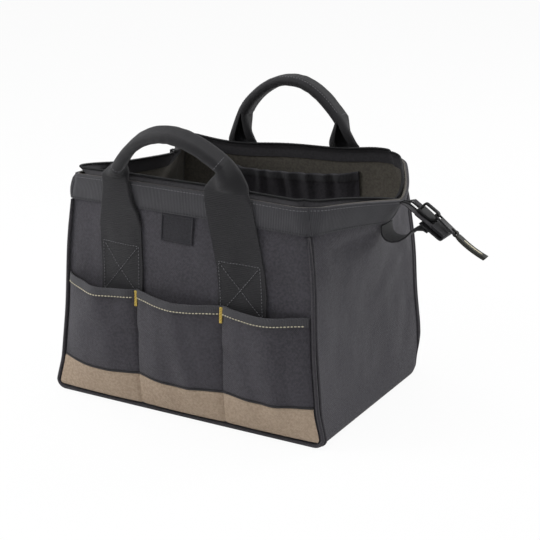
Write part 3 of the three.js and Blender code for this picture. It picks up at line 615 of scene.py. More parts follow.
def thicken(piece, thickness, offset=-1.0):
    apply_modifier(piece, "SOLIDIFY", thickness=thickness * MM, offset=offset, use_even_offset=True)
    return piece


print("helpers for sheets ready")

# %% [markdown]
# A shaped piece gives way with the bag, is shaded smooth up to its sharp edges, gets its finish, and
# rides on its body. One helper does this for all, so that no piece is forgotten.

# %% Settling and dressing
def settle(piece):
    """Move a piece as the bag gives way."""
    spots = []
    for vertex in piece.data.vertices:
        spots.extend(c * MM for c in given(*(c / MM for c in vertex.co)))
    piece.data.vertices.foreach_set("co", spots)
    piece.data.update()


def mark_inside_coat_and_light(piece):
    """Mark the side of a wall that faces the middle of the bag: its coated cloth is paler, and lightened
    further as painted light.
    """
    mark = piece.data.attributes.new("inside", "FLOAT", "POINT")
    for vertex, value in zip(piece.data.vertices, mark.data):
        away = Vector((vertex.co.x * 0.6, vertex.co.y, 0))
        value.value = 1.0 if vertex.normal.dot(away) < 0 else 0.0


def dress(piece, slot, body="bag", replaces=(), finish=None, sharp=50):
    """Shade a piece, give it its finish, and let it ride on its body."""
    alone(piece)
    bpy.ops.object.shade_smooth_by_angle(angle=math.radians(sharp))
    piece.data.materials.clear()
    piece.data.materials.append(FINISHES[finish or slot])
    if body == "bag":
        settle(piece)
    if body:
        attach(piece, body)
    if replaces:
        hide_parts(*replaces)
    print(piece.name, len(piece.data.polygons), "faces")
    return piece


def sew(name, cells, place, size, thickness, slot, replaces=(), finish=None, inside=False):
    """A sheet laid on place, thickened and dressed. inside marks the face that looks into the bag."""
    piece = thicken(grid(name, cells, place, size), thickness)
    if inside:
        mark_inside_coat_and_light(piece)
    return dress(piece, slot, replaces=replaces, finish=finish)


print("helpers for dressing ready")

# %% [markdown]
# Welts, rods and coils are tubes. A bevelled curve would do, but it has no UV map in real lengths. So a
# grid is rolled round a path, its seam is merged, and its ends are closed.

# %% Tubes
def tube(name, path, radius, sides, size_along, flat=1.0):
    """A closed round or flattened cord along path(share), which gives a point and two side ways."""
    steps = int(size_along)

    def place(u, v):
        centre, one, other = path(v)
        angle = 2 * math.pi * u
        a, b = radius * math.cos(angle), radius * flat * math.sin(angle)
        return tuple(centre[i] + one[i] * a + other[i] * b for i in range(3))

    around = 2 * math.pi * radius
    piece = grid(name, (sides, steps), place, (around, size_along))
    in_edit_mode(
        piece,
        lambda: bpy.ops.mesh.remove_doubles(threshold=1e-6),
        lambda: bpy.ops.mesh.fill_holes(sides=sides),
        lambda: bpy.ops.mesh.normals_make_consistent(inside=False),
    )
    return piece


print("helper for tubes ready")

# %% [markdown]
# ## Body cloth
# The four walls and the floor are flat cuts of cloth, sewn at the corners. They could be one lofted
# shell, but the real seams lie at the corners, so each wall is its own sheet.

# %% Front and rear walls
FLAT_WALL = ((BOTTOM_LENGTH + TOP_LENGTH) / 2, HEM_TOP)
for side, face in FACES.items():
    def on_wall(u, v):
        z = lerp(0.6, HEM_TOP, v**1.15)
        return face_point(side, -face["out"] * (2 * u - 1) * corner_x(z), z, 0)

    solids = [f"{side}_panel"]
    wall = sew(f"{side}_wall", (130, 110), on_wall, FLAT_WALL, CLOTH, "cloth", solids, inside=True)

# %% [markdown]
# The ends run in under the bag in a round corner, then rise. The left one folds inward like a bellows
# toward the rim, and the right one is drawn outward to the zipper's tail, which creases it on a slant.
# Two edges could be bridged, but that gives a straight slope, and this cloth is rounded at its ridge.

# %% Left and right ends
ARC_SHARE = 0.13
END_FLAT = ((BOTTOM_WIDTH + TOP_WIDTH) / 2 - 5, HEM_TOP + 11)


def end_spot(side, t, v, off):
    out = ENDS[side]["out"]
    if v < ARC_SHARE:
        angle = math.pi / 2 * (1 - v / ARC_SHARE)
        radius = BOTTOM_RADIUS + off
        z = BOTTOM_RADIUS - radius * math.sin(angle)
        return out * (ARC_X + radius * math.cos(angle)), t * (half_width(z) - CLOTH - GAP), z
    z = lerp(BOTTOM_RADIUS, end_top(side, t), (v - ARC_SHARE) / (1 - ARC_SHARE))
    return end_point(side, t * (half_width(z) - CLOTH - GAP), z, off)


for side, end in ENDS.items():
    def on_end(u, v):
        return end_spot(side, end["out"] * (2 * u - 1), v, 0)

    solids = [f"{side}_end_panel"]
    wall = sew(f"{side}_end_wall", (96, 116), on_end, END_FLAT, CLOTH, "cloth", solids, inside=True)

# %% [markdown]
# The floor of the bag is a flat sheet with rounded edges. It lies on the ground, so it is flat there.
# A bevelled slab would do, but a sheet takes the weave at the same size as the walls. The stiffener
# board above it is hard, keeps its CAD shape, and only gets its finish.

# %% Floor cloth and board
FLOOR_X, FLOOR_Y = ARC_X - GAP, BOTTOM_WIDTH / 2 - CLOTH - GAP
FLOOR_FLAT, FLOOR_CLOTH = (2 * FLOOR_X, 2 * FLOOR_Y), 1.5


def on_floor(u, v):
    x, y = (2 * u - 1) * FLOOR_X, (2 * v - 1) * FLOOR_Y
    edge = min(FLOOR_X - abs(x), FLOOR_Y - abs(y))
    return x, y, 2.4 - 0.8 * (1 - rise(0, 6, edge)) + 0.1 * ripple(x / 20, y / 20, 41)


solids = ["bottom_panel"]
floor_cloth = sew("floor_cloth", (60, 44), on_floor, FLOOR_FLAT, FLOOR_CLOTH, "cloth", solids)
FLOOR_FLAT[0] * MM
FLOOR_FLAT[1] * MM


def keep_node(node, finish):
    """A CAD node whose shape is right stays, with a better finish."""
    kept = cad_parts[node]
    kept.data.materials.clear()
    kept.data.materials.append(FINISHES[finish])
    print(node, "keeps its CAD shape")


keep_node("bottom_board", "board")

# %% [markdown]
# ## Hem
# A stiff ribbed tape is sewn round the outside of the rim. A bump in the finish could show its ribs,
# but the hem catches light from the side, so they are real ridges. Stitching presses its edges flat.

# %% Hem tape
RIB, RIB_HEIGHT = 1.6, 0.16
HEM_WIDTH, HEM_CLOTH = 25.5, HEM_THICKNESS - 0.3
END_HEM_GAP = 0.375
HEM_SHARE = (HEM_BOTTOM - BOTTOM_RADIUS) / (HEM_TOP - BOTTOM_RADIUS)
CORNER_LAP = 1.97
FACE_HEM_FLAT = TOP_LENGTH + 11.2


def hem_relief(way, v):
    ridges = RIB_HEIGHT * abs(math.sin(math.pi * way / RIB)) ** 0.7
    pressed = rise(0, 0.06, v) * rise(0, 0.05, 1 - v)
    sewn = 1 - 0.8 * bump(v, 0.07, 0.035) - 0.8 * bump(v, 0.9, 0.03)
    return (ridges * sewn + 0.25) * pressed


def end_height(side, t, share):
    """Height on an end, at a share of the way from its round bottom to its top edge."""
    return lerp(BOTTOM_RADIUS, end_top(side, t), share)


for side, face in FACES.items():
    def on_hem(u, v):
        z = lerp(HEM_BOTTOM, HEM_TOP, v)
        limit = half_length(z)
        way = -face["out"] * (2 * u - 1) * (limit + CORNER_LAP)
        y = face_point(side, clamp(way, -limit, limit), z, GAP + HEM_CLOTH + hem_relief(way, v))[1]
        return way, y, z

    solids = [f"{side}_hem"]
    sew(f"{side}_hem_tape", (560, 12), on_hem, (FACE_HEM_FLAT, HEM_WIDTH), HEM_CLOTH, "hem_tape", solids)

for side, end in ENDS.items():
    run = math.hypot(TOP_WIDTH / 2, end["depth"])

    def on_hem(u, v):
        t = end["out"] * (2 * u - 1)
        z = lerp(end_height(side, t, HEM_SHARE), end_top(side, t), v)
        off = END_HEM_GAP + HEM_CLOTH + hem_relief(t * run, v)
        return end_point(side, t * half_width(z), z, off)

    solids = [f"{side}_end_hem"]
    sew(f"{side}_end_hem_tape", (440, 12), on_hem, (2 * run, HEM_WIDTH), HEM_CLOTH, "hem_tape", solids)

# %% [markdown]
# ## Piping
# A cord in cloth covers the seam down both corners and along the bottom of each face. Beside it, on
# the end's side, lies the flat edge of its binding. A corner of the wall could be bevelled instead,
# but the seam stands out from both walls. So these are two tubes, and they follow one path.

# %% Piping and its binding
PIPE_RADIUS, PIPE_TUCK, PIPE_STEPS = 1.8, 0.7, 340
BINDING_RADIUS, BINDING_DEEP, BINDING_STEP, BINDING_FLAT = 1.9, 2.5, 1.4, 0.75
PIPE_BOTTOM = PIPE_RADIUS + 0.5


def pipe_half(share):
    """From the hem down one corner, round the bottom corner and to the middle: x and z."""
    down = HEM_BOTTOM - PIPE_TUCK - BOTTOM_RADIUS
    sweep = (BOTTOM_RADIUS - PIPE_BOTTOM) * math.pi / 2
    way = share * (down + sweep + ARC_X)
    if way < down:
        z = HEM_BOTTOM - PIPE_TUCK - way
        return half_length(z) - PIPE_TUCK, z
    if way < down + sweep:
        angle = (way - down) / sweep * math.pi / 2
        across = (BOTTOM_RADIUS - PIPE_TUCK) * math.cos(angle)
        return ARC_X + across, BOTTOM_RADIUS - (BOTTOM_RADIUS - PIPE_BOTTOM) * math.sin(angle)
    return ARC_X - (way - down - sweep), PIPE_BOTTOM


def pipe_path(side, off, out_step=0.0):
    def spot(share):
        half, hand = (1 - 2 * share, 1) if share < 0.5 else (2 * share - 1, -1)
        x, z = pipe_half(1 - half)
        middle = Vector((ARC_X - 40, 60))
        away = (Vector((x, z)) - middle).normalized() * out_step * rise(0.0, 0.04, half)
        return Vector((hand * (x + away.x), face_point(side, x, z, off)[1], max(z + away.y, PIPE_BOTTOM)))

    def path(share):
        here = spot(share)
        ahead = spot(min(share + 0.002, 1)) - spot(max(share - 0.002, 0))
        ahead.normalize()
        out = Vector((0, 1, 0))
        other = ahead.cross(out).normalized()
        return here, out, other

    return path


for side in FACES:
    welt = tube(f"{side}_welt", pipe_path(side, GAP + PIPE_RADIUS), PIPE_RADIUS, 12, PIPE_STEPS)
    dress(welt, "webbing", replaces=[f"{side}_piping"], finish="welt_cloth")
    path = pipe_path(side, -BINDING_DEEP, BINDING_STEP)
    binding = tube(f"{side}_welt_binding", path, BINDING_RADIUS, 10, PIPE_STEPS, flat=BINDING_FLAT)
    dress(binding, "webbing", finish="welt_cloth")

# %% [markdown]
# ## Outer pockets
# One long strip of cloth is sewn down at the divisions, and stands off the wall between them, with
# soft upright folds. The pockets are separate sheets that meet at the divisions, as in the CAD.

# %% Shape of the pockets
POCKET_BOTTOM, POCKET_TOP, POCKET_DIVISION = 6, 128, 49
POCKET_CLOTH, POCKET_INSET = 1.4, 4.4
POCKET_DEPTHS = {"left": 13, "middle": 11, "right": 10}
POCKET_DIP, BAND_TOP, BAND_DIP = 2.2, 39.5, 2.2
WEBBING_WIDTH, WEBBING, STRAP_BOTTOM, STRAP_LOW = 50.8, 2.2, 96, 69
SPANS = ("left", "middle", "right")


def pocket_edge(z):
    if z >= BOTTOM_RADIUS:
        return half_length(z) - POCKET_INSET
    radius = BOTTOM_RADIUS - POCKET_INSET
    return ARC_X + math.sqrt(max(radius**2 - (BOTTOM_RADIUS - z) ** 2, 0))


def span_ends(span, z):
    inner = POCKET_DIVISION
    if span == "left":
        return -pocket_edge(z), -inner - GAP / 2
    if span == "right":
        return inner + GAP / 2, pocket_edge(z)
    return -inner + GAP / 2, inner - GAP / 2


def strap_step(x, z):
    """The pockets are sewn over the lower ends of the straps."""
    edge = STRAP_LOW + WEBBING_WIDTH / 2
    near = 1 - rise(edge, edge + 30, abs(x))
    return (WEBBING + GAP) * near * rise(STRAP_BOTTOM - 14, STRAP_BOTTOM, z + GAP)


def pocket_fold(side, x, u, z):
    seed = 51.7 if side == "front" else 61.3
    calm = math.sin(math.pi * u) ** 0.5 * rise(8, 30, z)
    long = ripple((x + 0.16 * z) / 19, z / 95, seed)
    slant = ripple((x - 0.5 * z) / 30, (z + 0.2 * x) / 70, seed + 4)
    return calm * (2.4 * long + 1.8 * slant)


def pocket_point(side, span, u, z, off):
    start, end = span_ends(span, z)
    x = lerp(start, end, u)
    belly = POCKET_DEPTHS[span] * math.sin(math.pi * u) ** 0.75 * math.sin(math.pi / 2 * min(z / 84, 1))
    return face_point(side, x, z, off + strap_step(x, z) + belly + pocket_fold(side, x, u, z))


def dipped(top, dip, u):
    return top - dip * math.sin(math.pi * u) ** 2


def turned(side, u):
    """The share from left to right, for a grid whose faces have to point outwards."""
    return u if side == "front" else 1 - u


print("pockets from", POCKET_BOTTOM, "to", POCKET_TOP, "mm high")

# %% [markdown]
# Each pocket is a sheet of its own. It is cut wider than the stretch of wall that it covers, and that
# fullness lets it stand open. A cloth simulation could drop it into place, but tape and band have to lie
# on the same folds, so the folds come from the formula that these share.

# %% Pocket cloth
POCKET_WIDTHS = {"left": 98.5, "middle": 98, "right": 98.5}
POCKET_HEIGHT, FULLNESS, WOVEN_FULLNESS = 117, 8, 14

for side in FACES:
    for span in SPANS:
        def on_pocket(u, v):
            share = turned(side, u)
            z = lerp(POCKET_BOTTOM, dipped(POCKET_TOP, POCKET_DIP, share), v)
            return pocket_point(side, span, share, z, GAP + POCKET_CLOTH)

        name, width = f"{side}_pocket_{span}", POCKET_WIDTHS[span]
        woven = (width + WOVEN_FULLNESS, POCKET_HEIGHT)
        pocket = sew(f"{name}_cloth", (64, 80), on_pocket, woven, POCKET_CLOTH, "cloth", [name])
        flat = ((width + FULLNESS) * MM, POCKET_HEIGHT * MM)

# %% [markdown]
# A dark tape is folded over the pockets' top edges, and a tan band with a wavy top covers their lower
# part. Both could be colours on the pockets, but their edges stand up and cast a shadow. So each is a
# sheet of its own, which runs over all three pockets and dips into the seams between them.

# %% Bands over the pockets
BAND_CELLS = 49
BAND_STEPS = 3 * BAND_CELLS - 1
BAND_BASE = 2 * GAP + POCKET_CLOTH
BAND_LENGTH, FOLDED_WIDTH, FOLDED_CLOTH = 320, 18, 0.8
FOLD_OUTSIDE, FOLD_INSIDE, FOLD_CROWN = 8, 7, 1.6


def band_spot(side, u):
    """Which pocket, and where across it, a share along the whole band is."""
    column = round(turned(side, u) * BAND_STEPS)
    return SPANS[column // BAND_CELLS], column % BAND_CELLS / (BAND_CELLS - 1)


def fold_over(v, top):
    """Height and offset of a tape folded over an edge: up outside, over the top, down inside."""
    front, over = 0.5, 0.62
    if v < front:
        return lerp(top - FOLD_OUTSIDE, top, v / front), 1.0
    if v < over:
        angle = (v - front) / (over - front) * math.pi
        return top + FOLD_CROWN * math.sin(angle), lerp(1, 0, (1 - math.cos(angle)) / 2)
    return lerp(top, top - FOLD_INSIDE, (v - over) / (1 - over)), 0.0


for side in FACES:
    def on_binding(u, v):
        span, share = band_spot(side, u)
        top = dipped(POCKET_TOP, POCKET_DIP, share)
        z, outside = fold_over(v, top)
        off = lerp(-0.9, BAND_BASE + 0.9, outside) + 0.25 * bump(v, 0.25, 0.12)
        x, y, _ = pocket_point(side, span, share, min(z, top), off)
        return x, y, z

    solids = [f"{side}_pocket_binding"]
    cells, flat = (BAND_STEPS, 22), (BAND_LENGTH, FOLDED_WIDTH)
    sew(f"{side}_pocket_tape", cells, on_binding, flat, FOLDED_CLOTH, "webbing", solids, "hem_tape")

    def on_trim(u, v):
        span, share = band_spot(side, u)
        z = lerp(POCKET_BOTTOM, dipped(BAND_TOP, BAND_DIP, share), v)
        soft = 1.1 * rise(0, 0.05, v) * rise(0, 0.05, 1 - v)
        seam = 0.9 * bump(min(share, 1 - share), 0, 0.022) if 0.05 < u < 0.95 else 0
        return pocket_point(side, span, share, z, BAND_BASE + soft - seam)

    solids = [f"{side}_trim_band"]
    sew(f"{side}_tan_band", (BAND_STEPS, 26), on_trim, (BAND_LENGTH, 34), 1.0, "tan_cloth", solids)

    def on_line(u, v):
        span, share = band_spot(side, u)
        z = dipped(BAND_TOP, BAND_DIP, share) + lerp(-0.2, 2.2, v)
        return pocket_point(side, span, share, z, BAND_BASE + 0.9 * math.sin(math.pi * v) + 0.2)

    sew(f"{side}_band_edge", (BAND_STEPS, 6), on_line, (BAND_LENGTH, 3), 0.7, "webbing")

# %% [markdown]
# ## Label patch
# The patch under the front hem is bare, finely woven cloth with a thick overcast border. The border
# could be a tube of its own, but a dense grid carries it as relief, so that it stays one piece.

# %% Label patch
LABEL_WIDTH, LABEL_HEIGHT, LABEL, LABEL_X = 37, 26, 1.2, -4


def on_label(u, v):
    edge = min(min(u, 1 - u) * LABEL_WIDTH, min(v, 1 - v) * LABEL_HEIGHT)
    border = rise(0, 0.7, edge) * (1 - rise(1.7, 2.4, edge))
    turns = 0.18 * abs(math.sin(math.pi * (u * LABEL_WIDTH + v * LABEL_HEIGHT) / 0.9))
    off = GAP + LABEL - 0.35 + border * (0.6 + turns) + 0.2 * ripple(u * 3, v * 3, 71)
    z = HEM_BOTTOM - GAP - LABEL_HEIGHT * (1 - v)
    return face_point("front", LABEL_X + (u - 0.5) * LABEL_WIDTH, z, off)


flat = (LABEL_WIDTH, LABEL_HEIGHT)
sew("label_cloth_patch", (150, 112), on_label, flat, 0.8, "label_cloth", ["label_patch"])

# %% [markdown]
# ## Inner pocket
# The inner pocket is gathered by its top tape, so it hangs in upright folds. A cloth simulation gives
# such folds too, but the tape has to lie on them. A sine with a little noise in it serves both, and
# gives folds that are alike and never the same.

# %% Inner pocket
INNER_TOP, INNER_BOTTOM, INNER_HALF, INNER_DEPTH = 210, 90, 80, 14
INNER_FLAT, INNER_WOVEN = (185, 120), (190, 120)


def inner_top(x):
    return INNER_TOP - 3 * (1 - x**2)


def inner_off(u, z, off):
    share = rise(INNER_BOTTOM, INNER_TOP, z)
    belly = INNER_DEPTH * math.cos(math.pi / 2 * u) * share
    gather = 1.5 * math.sin(u * 26 + 2 * ripple(u * 4, z / 60, 81)) * share * (1 - u**8)
    return -(CLOTH + GAP + belly + gather + 1.6 * share * (1 - u**8) + off)


def on_inner(u, v):
    x = 2 * u - 1
    z = lerp(INNER_BOTTOM, inner_top(x), v)
    return face_point("rear", x * INNER_HALF, z, inner_off(x, z, POCKET_CLOTH))


def on_inner_tape(u, v):
    x = 2 * u - 1
    top = inner_top(x)
    z, outside = fold_over(v, top)
    off = lerp(-1.0, POCKET_CLOTH + 0.9, outside)
    return face_point("rear", x * INNER_HALF, z, inner_off(x, min(z, top), off))


solids = ["inner_pocket"]
inner = sew("inner_pocket_cloth", (160, 60), on_inner, INNER_WOVEN, POCKET_CLOTH, "cloth", solids)
flat = (INNER_FLAT[0] * MM, INNER_FLAT[1] * MM)
solids = ["inner_pocket_binding"]
flat = (INNER_WOVEN[0], FOLDED_WIDTH)
sew("inner_pocket_tape", (160, 22), on_inner_tape, flat, FOLDED_CLOTH, "webbing", solids, "hem_tape")

# %% [markdown]
# ## Bartacks
# A bartack is a short row of thread wound side by side, and takes the strain where two pockets meet.
# One grid with a round ridge for each turn makes it, with far fewer faces than separate turns.

# %% Bartacks
TACK_WIDTH, TACK_HEIGHT, TACK_TURNS = 3.2, 16, 19


def tack(name, side, centre, off, top, replaces):
    """A row of thread turns wound side by side."""
    def on_tack(u, v):
        across = 2 * turned(side, u) - 1
        turns = abs(math.sin(math.pi * TACK_TURNS * v)) ** 0.6
        round_off = 0.75 * math.sqrt(max(1 - across**2, 0)) * turns
        z = top - TACK_HEIGHT * (1 - v)
        return face_point(side, centre + across * TACK_WIDTH / 2, z, off + 0.5 + round_off)

    piece = thicken(grid(name, (8, 8 * TACK_TURNS), on_tack, (TACK_WIDTH, TACK_HEIGHT)), 0.5)
    dress(piece, "yellow_thread", replaces=replaces, sharp=70)


for side in FACES:
    off = 4 * GAP + POCKET_CLOTH + 1 + WEBBING
    for name, centre in (("left", -POCKET_DIVISION), ("right", POCKET_DIVISION)):
        tack(f"{side}_tack_{name}", side, centre, off, POCKET_TOP + 0.5, [f"{side}_bartack_{name}"])

# %% [markdown]
# ## Handles
# Each handle is one length of two inch webbing: sewn flat on the wall, folded in from both edges above
# the rim, and rolled to an oval grip. A profile swept on a curve can't change from flat to rolled, so
# the strip is a grid whose rows follow the handle, and each row bends its edges round by its own
# amount. It stands for three CAD solids. First comes where its two straps lie on the wall.

# %% Straps on the wall
PIVOT_Z, STRAP_HIGH, SLANT_START = 236, 61, 165
LEG_SHARE, GRIP_START = 0.3, 0.95
GRIP_OUT, END_ARC, FOLD_RADIUS = 9.8, 7.3, 1.25
STRIP_COLUMNS = 64
ARCHES = {
    "front": {
        "feet": (-78, 49), "ends": (-70, 53),
        "peak": -0.7, "top": 57.5, "drop": 0.0092, "slope": 0.02,
    },
    "rear": {
        "feet": (-61, 61), "ends": (-57, 57),
        "peak": 0, "top": 67, "drop": 37 / 57**2, "slope": 0,
    },
}
STRIP_STEP = WEBBING_WIDTH / STRIP_COLUMNS
REAR_LEG = {"sway": (150, 1), "rim_half": 16.5, "fold": (198, 236)}
LEGS = {
    ("front", -1): {"sway": (150, 1.6), "rim_half": 15.5, "fold": (180, 230)},
    ("front", 1): {"sway": (140, 1.3), "rim_half": 22.5, "fold": (222, 238)},
    ("rear", -1): REAR_LEG,
    ("rear", 1): REAR_LEG,
}


def foot(side, hand):
    return ARCHES[side]["feet"][0 if hand < 0 else 1]


def strap_middle(side, hand, z):
    """Where a strap's middle is. The front handle hangs over to one side and pulls its straps along."""
    start, power = LEGS[side, hand]["sway"]
    sway = (foot(side, hand) - hand * STRAP_HIGH) * clamp((z - start) / (PIVOT_Z - start)) ** power
    slant = clamp((z - SLANT_START) / (PIVOT_Z - SLANT_START))
    return hand * lerp(STRAP_LOW, STRAP_HIGH, slant) + sway


def strap_lift(z):
    return GAP + (HEM_THICKNESS + 0.45) * rise(HEM_BOTTOM - 25.5, HEM_BOTTOM - HEM_THICKNESS, z)


def pivot_reach(side):
    return face_reach(side, STRAP_HIGH, HEM_TOP) + strap_lift(HEM_TOP) + WEBBING / 2 + GAP


print("the front handle turns", round(pivot_reach("front"), 1), "mm in front of the middle")

# %% [markdown]
# Seen along the webbing, a row is a line that starts flat in the middle and turns towards its edges.
# Folded, it turns back flat behind itself. Rolled, it goes round an oval. A mix of both turns gives all
# that lies between, and its length never changes, as real webbing doesn't stretch.

# %% Cross-section of the webbing
def section_turn(way, flat_half, roll):
    """How far a strip has turned at a distance from its middle: folded at roll 0, oval at roll 1."""
    fold = math.pi * clamp((way - flat_half) / (math.pi * FOLD_RADIUS))
    last = clamp((way - WEBBING_WIDTH / 2 + END_ARC) / END_ARC)
    return lerp(fold, math.pi / 2 * (clamp(way / END_ARC) + last), roll)


@lru_cache(maxsize=None)
def bent_half(flat_half, roll):
    """Across, behind and turn of each column of half a strip, from its middle to its edge."""
    across = behind = 0.0
    columns = [(0.0, 0.0, 0.0)]
    for i in range(STRIP_COLUMNS // 2):
        turn = section_turn((i + 0.5) * STRIP_STEP, flat_half, roll)
        across += math.cos(turn) * STRIP_STEP
        behind += math.sin(turn) * STRIP_STEP
        columns.append((across, behind, section_turn((i + 1) * STRIP_STEP, flat_half, roll)))
    return columns


def bent(q, flat_half, roll=0.0, off=0.0):
    """A point of a strip's cross-section, off its outer side by off."""
    hand = 1 if q >= 0 else -1
    across, behind, turn = bent_half(flat_half, roll)[round(abs(q) / STRIP_STEP)]
    return hand * (across + off * math.sin(turn)), behind - off * math.cos(turn)


def flap_lift(flat_half):
    """How far the folded edges behind a strip push it outwards."""
    return 2.4 * rise(4, 8, WEBBING_WIDTH / 2 - flat_half)


def leg_spot(side, hand, z, q):
    share = rise(*LEGS[side, hand]["fold"], z)
    flat_half = lerp(WEBBING_WIDTH / 2, LEGS[side, hand]["rim_half"] - FOLD_RADIUS, share)
    across, behind = bent(q, flat_half)
    x = strap_middle(side, hand, z) + across
    low = min(z, HEM_TOP)
    flap = flap_lift(flat_half)
    lying = face_reach(side, x, low) + strap_lift(low) + WEBBING / 2 + flap
    reach = lerp(lying, pivot_reach(side) + 0.5 * flap, rise(TAPE_BOTTOM, HEM_TOP + 3, z))
    return x, FACES[side]["out"] * (reach - behind), z


print("a rolled half ends", round(bent_half(WEBBING_WIDTH / 2, 1.0)[-1][1], 1), "mm behind its middle")

# %% [markdown]
# Above the rim the handle lies in a plane of its own, which leans out in front. There its middle line
# is a low arch, with a steep leg at each end. A curve object could carry it, but the rows also need how
# far the line has turned, and how far the webbing is rolled.

# %% Arch of the grip
def arch(side, x):
    """Height of a grip's middle line above the rim, and its slope."""
    line = ARCHES[side]
    over = x - line["peak"]
    height = line["top"] - line["drop"] * over**2 + line["slope"] * over
    return height, line["slope"] - 2 * line["drop"] * over


def grip_path(side, share):
    """Along the free part, from one leg at 0 to the other at 1: place, turn and how far it is rolled."""
    hand, k = (-1, 0) if share < 0.5 else (1, 1)
    near = min(share, 1 - share) / 0.5
    end = ARCHES[side]["ends"][k]
    if near < LEG_SHARE:
        t = near / LEG_SHARE
        height, slope = arch(side, end)
        turn = math.atan2(1, -slope * hand) * t * t
        return hand, lerp(foot(side, hand), end, t), lerp(GRIP_START, height, t), turn, t
    x = lerp(end, sum(ARCHES[side]["ends"]) / 2, (near - LEG_SHARE) / (1 - LEG_SHARE))
    height, slope = arch(side, x)
    return hand, x, height, math.atan2(1, -slope * hand), 1.0


def tilted(side, x, h, deep):
    """A place in a handle's own plane, as a place on the bag."""
    tilt = math.radians(FACES[side]["tilt"])
    away = deep * math.cos(tilt) + h * math.sin(tilt)
    y = FACES[side]["out"] * (pivot_reach(side) + away)
    return x, y, PIVOT_Z + h * math.cos(tilt) - deep * math.sin(tilt)


def grip_spot(side, share, q, off=0.0):
    hand, x, height, turn, t = grip_path(side, share)
    rim_flat = LEGS[side, hand]["rim_half"] - FOLD_RADIUS
    roll = t**0.6
    across, behind = bent(q, rim_flat, roll, off)
    middle = lerp(0.5 * flap_lift(rim_flat), GRIP_OUT, roll)
    x -= hand * across * math.cos(turn)
    return tilted(side, x, height - across * math.sin(turn), middle - behind)


LEG_ROWS, GRIP_ROWS = 62, 170


def handle_rows():
    legs = [lerp(STRAP_BOTTOM, PIVOT_Z - 0.6, i / LEG_ROWS) for i in range(LEG_ROWS + 1)]
    up = [("leg", -1, z) for z in legs]
    over = [("grip", 0, (i + 0.5) / GRIP_ROWS) for i in range(GRIP_ROWS)]
    return up + over + [("leg", 1, z) for z in reversed(legs)]


ROWS = handle_rows()
print("rows of webbing in a handle:", len(ROWS))

# %% [markdown]
# Now the strip is laid, row by row, on the wall below the rim and in the handle's own plane above it.
# Cut in two there, it would gape when the handle swings. So it is one piece, which turns
# smoothly between the two.

# %% Handle webbing
HANDLE_LENGTH = 560

for side, face in FACES.items():
    def on_strip(u, v):
        kind, hand, value = ROWS[round(v * (len(ROWS) - 1))]
        q = (u - 0.5) * WEBBING_WIDTH * -face["out"]
        wave = 0.4 * ripple(v * 40, u * 2, 91)
        if kind == "leg":
            x, y, z = leg_spot(side, hand, value, -hand * q)
            return x, y + wave * 0.4, z
        x, y, z = grip_spot(side, value, q)
        return x, y + wave, z + wave

    cells = (STRIP_COLUMNS, len(ROWS) - 1)
    strip = grid(f"{side}_handle_strip", cells, on_strip, (WEBBING_WIDTH, HANDLE_LENGTH))
    thicken(strip, WEBBING - 0.3, offset=0.0)
    solids = [f"{side}_strap_left", f"{side}_strap_right", f"{side}_handle_webbing"]
    dress(strip, "webbing", body=None, replaces=solids)
    settle(strip)
    across = face["out"] * pivot_reach(side) * MM
    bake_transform(strip)

# %% [markdown]
# Inside each grip lies a soft foam rod, which shows only through the slit and at its ends. Little of
# it is seen, so it is a tube along the arch, fuller in the middle, with no simulation.

# %% Foam rods
ROD_RADIUS, ROD_STEPS, ROD_FILL = 3.1, 150, 0.9


def rod_path(side):
    def spot(share):
        x = lerp(*ARCHES[side]["ends"], lerp(0.035, 0.965, share))
        return Vector(tilted(side, x, arch(side, x)[0], 0))

    def path(share):
        full = 1 - 0.5 * (1 - math.sin(math.pi * clamp(share, 0.02, 0.98)) ** 0.3)
        ahead = (spot(share + 0.01) - spot(share - 0.01)).normalized()
        tilt = math.radians(FACES[side]["tilt"])
        out = Vector((0, FACES[side]["out"] * math.cos(tilt), -math.sin(tilt)))
        return spot(share), ahead.cross(out) * full, out * full

    return path


for side in FACES:
    rod = tube(f"{side}_foam_rod", rod_path(side), ROD_RADIUS, 14, ROD_STEPS)
    settle(rod)
    dress(rod, "foam", body=f"{side}_handle", replaces=[f"{side}_handle_core"])

# %% [markdown]
# ## Zipper
# The zipper follows the folded mouth, and its two halves run out side by side along the tail. Tape and
# coil have to agree all the way, so stations are set round the rim first. Each station says where any
# height on the tape lies.

# %% Stations round the rim and along the tail
TAIL_DROP = math.radians(33)
TAIL_AXIS = Vector((math.cos(TAIL_DROP), 0, -math.sin(TAIL_DROP)))
TAIL_UP = Vector((math.sin(TAIL_DROP), 0, math.cos(TAIL_DROP)))
TAIL_ROOT = Vector((TOP_LENGTH / 2 + 53, 0, TIP_HEIGHT))
TAIL_LENGTH, TAIL_COIL, TAIL_START, TAIL_OUTER = 50, 3.8, 3, 12.5
SLIDER_HEEL, TIP_SAG, TAPE_LEAN, COIL_RADIUS = 34, 15, 3, 1.5
LAST_ARM, LAST_FACE = 5 / 6, 6 / 7


def tail_point(s, y, n):
    spot = TAIL_ROOT + TAIL_AXIS * s + TAIL_UP * n
    return spot.x, y, spot.z


def rim_level(tip, level):
    drop = TIP_SAG * tip
    low = lerp(TAPE_BOTTOM, TIP_HEIGHT - 3, rise(0.35, 0.65, tip))
    heights = low, max(HEM_TOP - drop, low + 1), TAPE_TOP - drop
    whole = min(int(level), 1)
    return lerp(heights[whole], heights[whole + 1], level - whole)


def face_station(side, u):
    def at(z, off, lean):
        x, y, _ = face_point(side, u * half_length(z), min(z, HEM_TOP), off)
        return x, y - FACES[side]["out"] * lean

    return at


def arm_station(side, end, share):
    def at(z, off, lean):
        low = min(z, HEM_TOP)
        y = max(share * ridge_reach(low), ENDS[end]["tip"] if share == 0 else 0)
        x, y, _ = end_point(end, FACES[side]["out"] * y, low, off - 2 * GAP)
        return x - ENDS[end]["out"] * lean, y

    return at


